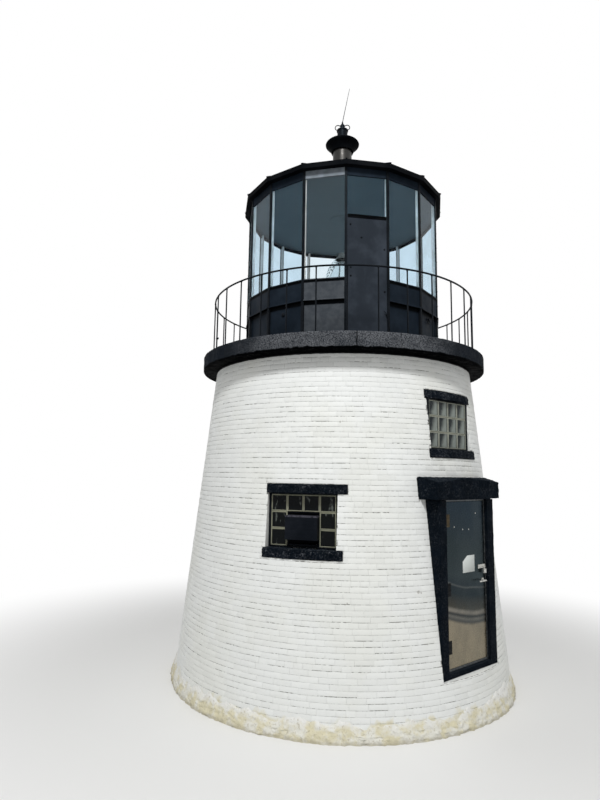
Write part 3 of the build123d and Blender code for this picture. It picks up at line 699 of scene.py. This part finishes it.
brickwork = {
    "courses": 69, "firstCourse": 1, "length": 0.213, "bed": 0.002, "perpend": 0.0006, "headerEvery": 7,
    "proud": 0.0024, "unevenness": 0.0011, "slip": 0.0008, "tilt": 0.22, "depth": 0.016, "edge": 0.0017,
    "shapes": 8, "handmade": 0.0004, "drift": 0.1, "smallest": 0.025, "thinnest": 0.012, "openingGap": 0.002,
    "runEnds": 0.45, "openShare": 0.54, "openBed": 0.0036, "widestBed": 0.0075,
    "openings": [  # angle, half width, low, high
        (0, 0.573, 0.52, 2.549), (0, 0.665, 2.549, 2.8),
        (-56.65, 0.434, 1.963, 2.6), (-55.25, 0.505, 2.6, 2.714), (-56.1, 0.4945, 1.849, 1.963),
        (0.85, 0.434, 3.17, 3.807), (2, 0.505, 3.807, 3.921), (1.45, 0.4945, 3.056, 3.17),
    ],
    "sectors": {"brickwork_front": (-90, 0), "brickwork_door_side": (0, 90), "brickwork_back": (90, 270)},
}
coursePitch = tower["wallTop"] / brickwork["courses"]
brickSize = (brickwork["length"], brickwork["depth"], coursePitch - brickwork["bed"])


def makeBrick(index):
    brick = addCube(brickSize)
    front = 0.45 * brickSize[1]
    edit(brick, lambda face: face.calc_center_median().y > front)
    bpy.ops.mesh.delete(type="FACE")
    edit(brick, lambda edge: all(vertex.co.y < -front for vertex in edge.verts), "edges")
    bpy.ops.mesh.bevel(offset=brickwork["edge"], segments=2, profile=0.6)
    bpy.ops.mesh.select_all(action="SELECT")
    bpy.ops.transform.vertex_random(offset=brickwork["handmade"], uniform=0.3, seed=index)
    return template(brick)


# the parts of one course that are free of openings, as start, end, low, high
def freeSpans(low, high):
    middle = wallRadius((low + high) / 2)
    arcs = []
    for angle, halfWidth, openLow, openHigh in brickwork["openings"]:
        if openLow < high and openHigh > low:
            half = math.degrees(math.asin(halfWidth / middle))
            arcs.append((angle - half, angle + half, openLow, openHigh))
    stops = sorted({-200, 200, *[arc[0] for arc in arcs], *[arc[1] for arc in arcs]})
    spans = []
    for start, end in zip(stops, stops[1:]):
        spanLow, spanHigh = low, high
        for arcStart, arcEnd, openLow, openHigh in arcs:
            if arcStart < (start + end) / 2 < arcEnd:
                if openLow - low > high - openHigh:
                    spanHigh = min(spanHigh, openLow - brickwork["openingGap"])
                else:
                    spanLow = max(spanLow, openHigh + brickwork["openingGap"])
        if spanHigh - spanLow > brickwork["thinnest"]:
            spans.append((start, end, spanLow, spanHigh))
    return spans


# a brick's points cut to a width and height and laid in the wall
def placeBrick(points, angle, low, high, width):
    size = np.array([width, brickwork["depth"], high - low])
    local = points + np.sign(points) * (size - np.array(brickSize)) / 2
    turn = math.radians(angle)
    tilt = math.atan(tower["batter"]) + math.radians(dice.normal(0, brickwork["tilt"]))
    outward = np.array([math.sin(turn), -math.cos(turn), 0])
    along = np.array([math.cos(turn), math.sin(turn), 0])
    up = -math.sin(tilt) * outward + math.cos(tilt) * np.array([0, 0, 1])
    normal = np.cross(along, up)
    level = (low + high) / 2 + dice.uniform(-1, 1) * brickwork["slip"]
    proud = brickwork["proud"] + abs(dice.normal(0, brickwork["unevenness"])) - brickwork["depth"] / 2
    centre = outward * (wallRadius(level) + proud) + np.array([0, 0, level])
    return centre + local[:, :1] * along - local[:, 1:2] * normal + local[:, 2:] * up


def makeBrickwork():
    bricks = [makeBrick(index + 1) for index in range(brickwork["shapes"])]
    built = {name: ([], []) for name in brickwork["sectors"]}
    for course in range(brickwork["firstCourse"], brickwork["courses"]):
        low = course * coursePitch + brickwork["bed"] / 2
        high = (course + 1) * coursePitch - brickwork["bed"] / 2
        radius = wallRadius((low + high) / 2)
        header = course % brickwork["headerEvery"] == 4
        step = math.degrees((brickwork["length"] / (2 if header else 1)) / radius)
        count = round(360 / step)
        step = 360 / count
        offset = dice.uniform(-1, 1) * brickwork["drift"] * step + (course % 2) * step / 2
        perpend = math.degrees(brickwork["perpend"] / 2 / radius)
        openBed = True
        spans = freeSpans(low, high)
        for index in range(count):
            middle = -180 + offset + index * step
            for start, end, spanLow, spanHigh in spans:
                left = max(middle - step / 2, start) + perpend
                right = min(middle + step / 2, end) - perpend
                width = math.radians(right - left) * radius
                if width < brickwork["smallest"]:
                    continue
                shape = bricks[dice.integers(len(bricks))]
                angle = (left + right) / 2
                if dice.random() < brickwork["runEnds"]:
                    openBed = dice.random() < brickwork["openShare"]
                gap = 0
                if openBed:
                    gap = min(brickwork["widestBed"], abs(dice.normal(0, brickwork["openBed"])))
                points = placeBrick(shape[0], angle, spanLow + gap, spanHigh, width)
                for name, (first, last) in brickwork["sectors"].items():
                    if first <= angle < last or first <= angle + 360 < last:
                        addShape(*built[name], points, shape[1])
                        break
    for name, (points, faces) in built.items():
        dress(meshPiece(name, points, faces), "brickPaint", angle=50)
        print(name, "laid:", len(faces), "faces")


makeBrickwork()


# rough mortar round the foot

skirt = {
    "height": 0.3, "projection": 0.066, "columns": 540, "rows": 16, "outermost": 2.4665,
    "lumps": 0.02, "lumpScale": 17, "lap": 0.02, "lowest": 0.3, "usual": 0.62,
}


def makeSkirt():
    deselectAll()
    bpy.ops.mesh.primitive_plane_add(size=1)
    profile = bpy.context.object
    profile.name = "rough_footing"
    edit(profile)
    bpy.ops.mesh.delete(type="VERT")
    mesh = bmesh.from_edit_mesh(profile.data)
    previous = None
    for row in range(skirt["rows"] + 1):
        share = row / skirt["rows"]
        level = skirt["height"] * share
        out = wallRadius(level) + skirt["projection"] * max(0, 1 - share) ** 0.7
        vertex = mesh.verts.new((0, -out, level))
        if previous:
            mesh.edges.new((previous, vertex))
        previous = vertex
    inner = mesh.verts.new((0, -wallRadius(skirt["height"]) + skirt["lap"], skirt["height"]))
    mesh.edges.new((previous, inner))
    bmesh.update_edit_mesh(profile.data)
    bpy.ops.mesh.select_all(action="SELECT")
    bpy.ops.mesh.spin(steps=skirt["columns"], angle=math.tau, center=(0, 0, 0), axis=(0, 0, 1))
    bpy.ops.mesh.select_all(action="SELECT")
    bpy.ops.mesh.remove_doubles(threshold=0.0005)
    bpy.ops.mesh.normals_make_consistent(inside=False)
    bpy.ops.object.mode_set(mode="OBJECT")
    for vertex in profile.data.vertices:
        angle = math.degrees(math.atan2(vertex.co.x, -vertex.co.y))
        level = vertex.co.z
        left = max(0, 1 - level / skirt["height"])
        broad = fractal(around(angle, 2.2, 7), 1, 2, 3)
        ragged = fractal(around(angle, 14, 3), 0.9, 2, 4)
        newLevel = level * min(1, max(skirt["lowest"], skirt["usual"] + 0.3 * broad + 0.22 * ragged))
        over = math.hypot(vertex.co.x, vertex.co.y) - wallRadius(level)
        lump = fractal(Vector((vertex.co.x, vertex.co.y, level * 1.4)) * skirt["lumpScale"], 0.8, 2.1, 4)
        if over > 0:
            over = over * (0.72 + 0.4 * broad) + skirt["lumps"] * lump * left ** 0.5
        newRadius = min(skirt["outermost"], wallRadius(newLevel) + max(over, -skirt["lap"]))
        vertex.co = around(angle, newRadius, newLevel)
    dress(profile, "footMortar", angle=60)
    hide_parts("footing_skirt")


makeSkirt()
print("foot made rough")


# cast cement: the CAD piece with its skin made lumpy

windowCast = dict(coat="blackCement", cell=0.009, lumpSize=0.036)
portalCast = dict(coat="portalCement", cell=0.012)

castings = {  # piece: the CAD node, its finish, the mesh's cell, the lumps, and what stays smooth
    "rough_lintels": dict(windowCast, node="window_lintels", depth=0.024),
    "rough_sills": dict(windowCast, node="window_sills", depth=0.022),
    "rough_portal_lintel": dict(
        portalCast, node="portal_lintel", depth=0.02, lumpSize=0.045,
        staysSmooth=lambda place: abs(place.x) < 0.46 and place.z < 2.56),
    "rough_portal_jambs": dict(
        portalCast, node="portal_jambs", depth=0.006, lumpSize=0.05,
        staysSmooth=lambda place: abs(place.x) < 0.5 and place.y > -2.246),
    "rough_portal_sill": dict(
        portalCast, node="portal_sill", depth=0.005, lumpSize=0.05,
        staysSmooth=lambda place: place.y > -2.246),
    "rough_slab": dict(
        node="gallery_slab", coat="slabCement", cell=0.02, depth=0.01, lumpSize=0.07,
        staysSmooth=lambda place: place.z > tower["deck"] - 0.004),
}
lumpMiddle = 0.78  # where the skin stays in place: most of it moves inwards


def makeCasting(name, node, coat, cell, depth, lumpSize, staysSmooth=lambda place: False):
    mesh = nodes[node].data
    points = [vertex.co[:] for vertex in mesh.vertices]
    casting = meshPiece(name, points, [list(face.vertices) for face in mesh.polygons])
    edit(casting)
    bpy.ops.mesh.remove_doubles(threshold=0.0001)
    applyModifier(casting, "REMESH", mode="VOXEL", voxel_size=cell)
    skin = [vertex.index for vertex in casting.data.vertices if not staysSmooth(vertex.co)]
    casting.vertex_groups.new(name="rough").add(skin, 1, "REPLACE")
    lumps = bpy.data.textures.new(name, "CLOUDS")
    lumps.noise_scale = lumpSize
    lumps.noise_depth = 3
    applyModifier(
        casting, "DISPLACE", texture=lumps, texture_coords="LOCAL", mid_level=lumpMiddle, strength=depth,
        vertex_group="rough")
    casting.vertex_groups.clear()
    dress(casting, coat, angle=60)
    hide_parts(node)
    print(name, "cast:", len(casting.data.polygons), "faces")


for castingName, settings in castings.items():
    makeCasting(castingName, **settings)


# glass blocks: a coated rim round two panes

block = {
    "pitch": 0.203, "size": 0.1945, "depth": 0.098, "rim": 0.01, "pane": 0.007, "setBack": 0.003,
    "fit": 0.001, "columns": 4, "rows": 3, "frameDepth": 0.11, "rail": 0.014,
    "windows": [  # angle, sill level, frame plane, bays left to the vent
        (-56.65, 1.963, 2.0354, {(1, 0), (1, 1), (2, 0), (2, 1)}), (0.85, 3.17, 1.9802, set()),
    ],
}


def makeBlockRim():
    rim = addCube((block["size"], block["depth"], block["size"]))
    edit(rim, lambda face: abs(face.normal.y) > 0.9)
    bpy.ops.mesh.delete(type="FACE")
    applyModifier(rim, "SOLIDIFY", thickness=block["rim"], offset=-1, use_even_offset=True)
    bevelEdges(rim, 0.0015)
    return template(rim)


def makeBlockPane():
    wide = block["size"] - 2 * block["rim"] - block["fit"]
    pane = addCube((wide, block["pane"], wide))
    edit(pane, lambda face: face.normal.y < -0.9)
    insetStep(0.01, (0, -0.0012, 0))
    insetStep(0.022, (0, 0.0022, 0))
    bevelEdges(pane, 0.0012)
    return template(pane)


def makeBlocks():
    rims, panes = [], []
    slide = block["depth"] / 2 - block["setBack"] - block["pane"] / 2
    outer = Matrix.Translation((0, -slide, 0))
    inner = Matrix.Translation((0, slide, 0)) @ Matrix.Rotation(math.pi, 4, "Z")
    for angle, sill, plane, vent in block["windows"]:
        for column in range(block["columns"]):
            for row in range(block["rows"]):
                if (column, row) in vent:
                    continue
                along = (column - (block["columns"] - 1) / 2) * block["pitch"]
                level = sill + block["rail"] + (row + 0.5) * block["pitch"]
                middle = onFace(angle, along, plane - block["frameDepth"] / 2, level)
                rims.append(middle)
                panes.extend([middle @ outer, middle @ inner])
    rim = dress(copies("glass_block_rims", makeBlockRim(), rims), "blockCoat")
    dress(copies("glass_block_panes", makeBlockPane(), panes), "blockGlass")
    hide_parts("window_blocks")


makeBlocks()
print("glass blocks set")


# fastenings: hexagon bolts, dome heads and slotted screws, modelled facing -Y

fastening = {
    "boltRadius": 0.01, "boltHeight": 0.007, "washerRadius": 0.014, "washerHeight": 0.0022,
    "domeRadius": 0.0085, "domeHeight": 0.0045, "screwRadius": 0.006, "screwHeight": 0.002, "sunk": 0.001,
}


def makeBolt():
    head, washer, sunk = fastening["boltHeight"], fastening["washerHeight"], fastening["sunk"]
    middles = (0, sunk - washer - head / 2, 0), (0, sunk - washer / 2, 0)
    hexagon = addCylinder(6, fastening["boltRadius"], head + 2 * sunk, middles[0], lying=True)
    disc = addCylinder(16, fastening["washerRadius"], washer + 2 * sunk, middles[1], lying=True)
    bolt = join("bolt", hexagon, disc)
    bevelEdges(bolt, 0.0008, 1)
    return template(bolt)


def makeDome(radius, high):
    dome = addSphere(8, radius)
    bpy.ops.mesh.bisect(plane_co=(0, 0.0001, 0), plane_no=(0, 1, 0), clear_outer=True, use_fill=True)
    bpy.ops.mesh.select_all(action="SELECT")
    bpy.ops.transform.resize(value=(1, high / radius, 1))
    return template(dome)


def makeScrew():
    radius, high = fastening["screwRadius"], fastening["screwHeight"]
    screw = addCylinder(16, radius, high, (0, -high / 2 + 0.0004, 0), lying=True)
    edit(screw, lambda face: face.normal.y < -0.9)
    insetStep(radius * 0.3, (0, -0.0006, 0))
    insetStep(radius * 0.35, (0, 0.0014, 0))
    return template(screw)


bolt = makeBolt()
dome = makeDome(fastening["domeRadius"], fastening["domeHeight"])
screw = makeScrew()

lantern = {
    "firstPost": 3.05, "sides": 16, "doorAngle": -30.7, "platePlane": 1.4707,
    "coverScrews": 11, "screwMargin": 0.1, "clearOfLedge": 0.03, "clearOfSill": 0.02,
    "doorBolts": [
        (-0.234, 6.229), (-0.079, 6.049), (-0.228, 5.617), (-0.228, 5.497), (0.246, 5.9), (0.246, 5.3)],
}


def makeLanternFastenings():
    places = []
    low, high = tower["deck"] + lantern["screwMargin"], lanternLevels["top"] - lantern["screwMargin"]
    spacing = (high - low) / (lantern["coverScrews"] - 1)
    for side in range(lantern["sides"]):
        angle = lantern["firstPost"] + side * 360 / lantern["sides"]
        out = reach("post_covers", angle)
        for index in range(lantern["coverScrews"]):
            level = low + index * spacing
            offLedge = abs(level - lanternLevels["ledge"]) > lantern["clearOfLedge"]
            if offLedge and abs(level - lanternLevels["sill"]) > lantern["clearOfSill"]:
                places.append(onFace(angle, dice.uniform(-0.004, 0.004), out, level))
    dress(copies("cover_screws", dome, places))
    angle = lantern["doorAngle"]
    out = reach("gallery_door", angle)
    places = [onFace(angle, along, out, level, dice.uniform(0, 60)) for along, level in lantern["doorBolts"]]
    dress(copies("gallery_door_bolts", bolt, places))


# the bar over the gallery door, with a lip folded out along its top; its deep black partly stands for the
# shade in the gap over the door, as painted shade

transom = {"size": (0.548, 0.008, 0.044), "foldLevel": 0.01, "lip": 0.012, "off": 0.003, "drop": 0.02}


def makeTransomBar():
    bar = addCube(transom["size"])
    bar.name = "gallery_door_transom"
    edit(bar)
    bpy.ops.mesh.bisect(plane_co=(0, 0, transom["foldLevel"]), plane_no=(0, 0, 1))
    edit(bar, lambda face: face.normal.y < -0.9 and face.calc_center_median().z > transom["foldLevel"])
    bpy.ops.mesh.extrude_region_move(TRANSFORM_OT_translate={"value": (0, -transom["lip"], 0)})
    bevelEdges(bar, 0.0015)
    out = reach("gallery_door", lantern["doorAngle"]) + transom["off"]
    bar.data.transform(onFace(lantern["doorAngle"], 0, out, lanternLevels["doorTop"] - transom["drop"]))
    dress(bar, "deepBlack")


# a knob on a lower plate of the lantern: its place, and the radius and height of its two domes

knob = {"place": (-75.7, -0.042, 5.037), "base": (0.03, 0.01), "grip": (0.017, 0.026), "gripOut": 0.006}


def makeKnob():
    angle, along, level = knob["place"]
    out = lantern["platePlane"]
    base = copies("parapet_knob", makeDome(*knob["base"]), [onFace(angle, along, out, level)])
    grip = copies("grip", makeDome(*knob["grip"]), [onFace(angle, along, out + knob["gripOut"], level)])
    dress(join("parapet_knob", base, grip))


# a ring hanging from an eye on another plate

ring = {
    "place": (14.3, -0.006, 5.085), "radius": 0.036, "wire": 0.006, "lean": 0.16, "out": 0.016, "top": 0.004,
    "eye": (0.022, 0.03, 0.016), "eyePlace": (0, -0.013, 0.004),
    "plate": (0.07, 0.006, 0.044), "platePlace": (0, -0.002, 0),
}


def makeRing():
    angle, along, level = ring["place"]
    deselectAll()
    bpy.ops.mesh.primitive_torus_add(
        major_radius=ring["radius"], minor_radius=ring["wire"], major_segments=32, minor_segments=10,
        rotation=(math.pi / 2 - ring["lean"], 0, 0))
    hoop = bpy.context.object
    hoop.location = (0, -ring["out"], ring["top"] - ring["radius"])
    settle(hoop)
    eye = addCube(ring["eye"], ring["eyePlace"])
    bevelEdges(eye, 0.004, 3)
    plate = addCube(ring["plate"], ring["platePlace"])
    bevelEdges(plate, 0.002)
    handle = join("parapet_ring", plate, eye, hoop)
    handle.data.transform(onFace(angle, along, lantern["platePlane"], level))
    dress(handle)


# a flat strap that leans against the cover left of the gallery door

strap = {
    "size": (0.013, 0.005, 0.42), "bend": (-0.04, 0, 0.05), "off": 0.004, "along": 0.01, "level": 0.205,
    "lean": -10.5, "boltAlong": -0.034, "boltLevel": 0.405, "boltOff": 0.006,
}


def makeStrap():
    angle = lantern["firstPost"] - 360 / lantern["sides"]
    flat = addCube(strap["size"])
    edit(flat, lambda face: face.normal.z > 0.9)
    bpy.ops.mesh.extrude_region_move(TRANSFORM_OT_translate={"value": strap["bend"]})
    bevelEdges(flat, 0.0015)
    out = reach("post_covers", angle)
    level = tower["deck"] + strap["level"]
    flat.data.transform(onFace(angle, strap["along"], out + strap["off"], level, strap["lean"]))
    place = onFace(angle, strap["boltAlong"], out + strap["boltOff"], tower["deck"] + strap["boltLevel"])
    foot = copies("strap_bolt", bolt, [place])
    dress(join("gallery_door_strap", flat, foot))


# a round slotted cover over the vent's opening in the ceiling

register = {
    "radius": 0.205, "depth": 0.008, "below": 0.0045, "vane": (0.01, 0.1, 0.006), "vanes": 14,
    "vaneOut": 0.126, "vaneBelow": 0.006, "vaneTilt": 28,
}


def makeRegister():
    level = lanternLevels["ceiling"]
    plate = addCylinder(48, register["radius"], register["depth"], (0, 0, level - register["below"]))
    edit(plate, lambda face: face.normal.z < -0.9)
    insetStep(0.022, (0, 0, 0.004))
    insetStep(0.11, (0, 0, -0.006))
    bevelEdges(plate, 0.0012)
    vane = addCube(register["vane"])
    bevelEdges(vane, 0.0015, 1)
    turns = [index * 360 / register["vanes"] for index in range(register["vanes"])]
    level -= register["vaneBelow"]
    places = [onFace(turn, 0, register["vaneOut"], level, register["vaneTilt"]) for turn in turns]
    vanes = copies("vanes", template(vane), places)
    dress(join("ceiling_register", plate, vanes), "ceilingPaint")


makeRegister()
makeLanternFastenings()
makeTransomBar()
makeKnob()
makeRing()
makeStrap()
print("lantern fastenings set")


# railing: foot collars, welds under the rail and the cable clamp

railing = {
    "count": 32, "ring": 2.01532, "rail": 5.45, "rod": 0.0095, "collarRadius": 0.021, "collarHeight": 0.012,
    "cone": 0.006, "weld": 0.0145, "weldSize": (1.15, 1, 0.7), "weldDrop": 0.012,
    "clamp": (0.052, 0.026, 0.02), "clampAngle": -108.2, "clampLevel": 4.79, "clampBolts": (-0.018, 0.018),
    "clampFace": 0.012,
}


def makeCollar():
    radius, high = railing["collarRadius"], railing["collarHeight"]
    collar = addCylinder(20, radius, high, (0, 0, high / 2 - 0.001))
    edit(collar, lambda face: face.normal.z > 0.9)
    insetStep(radius - railing["rod"] - 0.003, (0, 0, railing["cone"]))
    bevelEdges(collar, 0.0015, 1)
    return template(collar)


def makeWeld():
    weld = addSphere(6, railing["weld"])
    bpy.ops.transform.resize(value=railing["weldSize"])
    bpy.ops.transform.vertex_random(offset=0.0012, seed=4)
    return template(weld)


def makeClamp():
    clamp = addCube(railing["clamp"])
    bevelEdges(clamp, 0.003)
    heads = [onFace(0, along, railing["clampFace"], 0) for along in railing["clampBolts"]]
    clamp = join("baluster_clamp", clamp, copies("clamp_heads", bolt, heads))
    clamp.data.transform(onFace(railing["clampAngle"], 0, railing["ring"], railing["clampLevel"]))
    dress(clamp)


def makeRailing():
    angles = [lantern["firstPost"] + index * 360 / railing["count"] for index in range(railing["count"])]
    feet = [onFace(angle, 0, railing["ring"], tower["deck"]) for angle in angles]
    dress(copies("baluster_collars", makeCollar(), feet))
    tops = [onFace(angle, 0, railing["ring"], railing["rail"] - railing["weldDrop"]) for angle in angles]
    dress(copies("baluster_welds", makeWeld(), tops))


makeRailing()
makeClamp()
print("railing finished")


# entrance door: bare plate, screws and hinge screws

door = {
    "front": 2.21493, "plateThickness": 0.0025,
    "plate": (-0.07, 0.18, 1.665, 1.866),  # left, right, low, high
    "corner": ((-0.07, 1.797), (0.025, 1.866)),  # the line that cuts its upper left corner off
    "bolts": [(0.223, 2.374), (-0.232, 2.222), (-0.057, 2.184), (0.071, 2.181)],
    "hinges": (0.85, 1.5, 2.3), "hingeScrews": (-0.055, 0, 0.055), "hingeAlong": (-0.372, -0.345),
}


def makePlate():
    left, right, low, high = door["plate"]
    thick = door["plateThickness"]
    middle = ((left + right) / 2, -door["front"] - thick / 2, (low + high) / 2)
    plate = addCube((right - left, thick, high - low), middle)
    plate.name = "door_plate"
    (x0, z0), (x1, z1) = door["corner"]
    edit(plate)
    bpy.ops.mesh.bisect(plane_co=(x0, 0, z0), plane_no=(z0 - z1, 0, x1 - x0), clear_outer=True, use_fill=True)
    bevelEdges(plate, 0.0008)
    dress(plate, "signPlate", "entrance_door")


def makeDoorFastenings():
    places = [onFace(0, along, door["front"], level, dice.uniform(0, 90)) for along, level in door["bolts"]]
    dress(copies("door_screws", dome, places), "steel", "entrance_door")
    out = reach("door_hinge_leaves", 0)
    places = []
    for level in door["hinges"]:
        for offset in door["hingeScrews"]:
            for along in door["hingeAlong"]:
                places.append(onFace(0, along, out, level + offset, dice.uniform(0, 180)))
    dress(copies("hinge_screws", screw, places), "hingeBronze", "entrance_door")


makePlate()
makeDoorFastenings()
print("door fitted out")


# stage: floor, light and camera

stage = {
    "floorSize": 600, "floorColor": (0.8, 0.8, 0.79), "fadeFrom": 3.4, "fadeTo": 8.5,
    "keyPlace": (-45, 11, 15.6), "keyAim": (0, 0, 4), "keySize": 2.2, "keyPower": 1760,
    "fillStrength": 0.435, "white": (1, 1, 1),
}


# 1 for what the camera sees, straight or by way of gloss and glass
def seenRays():
    path = addNode("LightPath").outputs
    return larger(path["Is Camera Ray"], larger(path["Is Glossy Ray"], path["Is Transmission Ray"]))


def makeFloor():
    bpy.ops.mesh.primitive_plane_add(size=stage["floorSize"], location=(0, 0, 0))
    floor = bpy.context.object
    floor.name = "floor"
    floor.data.materials.append(startMaterial("floorPaint"))
    setShader(Roughness=0.9, Base_Color=stage["floorColor"])
    away = vectorCalc("LENGTH", objectPlace())
    fade = times(band(away, stage["fadeFrom"], stage["fadeTo"]), seenRays())
    white = addNode("Emission", {"Color": stage["white"], "Strength": 1})
    mixed = addNode("MixShader", {0: fade, 1: shader().outputs[0], 2: white.outputs[0]})
    feed(current["tree"].nodes["Material Output"].inputs["Surface"], mixed.outputs[0])


def makeLight():
    world = bpy.data.worlds.new("studio")
    bpy.context.scene.world = world
    startNodes(world)
    current["tree"].nodes.clear()
    soft, white = [
        addNode("Background", {"Color": stage["white"], "Strength": strength}).outputs[0]
        for strength in (stage["fillStrength"], 1)]
    mixed = addNode("MixShader", {0: seenRays(), 1: soft, 2: white})
    addNode("OutputWorld", {"Surface": mixed.outputs[0]})
    key = bpy.data.lights.new("key", "AREA")
    key.energy = stage["keyPower"]
    key.size = stage["keySize"]
    lamp = addObject("key", key)
    lamp.location = around(*stage["keyPlace"])
    lamp.rotation_euler = (Vector(stage["keyAim"]) - lamp.location).to_track_quat("-Z", "Y").to_euler()


cameraSettings = {
    "place": (-6.078, -6.294, 2.82), "heading": -39.74, "pitch": 7.67, "roll": 0.865, "lens": 25.02,
}


def makeCamera():
    data = bpy.data.cameras.new("camera")
    data.lens = cameraSettings["lens"]
    camera = addObject("camera", data)
    turn = Matrix.Rotation(math.radians(cameraSettings["heading"]), 4, "Z")
    tip = Matrix.Rotation(math.radians(90 + cameraSettings["pitch"]), 4, "X")
    roll = Matrix.Rotation(math.radians(cameraSettings["roll"]), 4, "Z")
    camera.matrix_world = Matrix.Translation(cameraSettings["place"]) @ turn @ tip @ roll
    bpy.context.scene.camera = camera


makeFloor()
makeLight()
makeCamera()
bpy.context.scene.view_settings.view_transform = "Standard"
print("stage set")
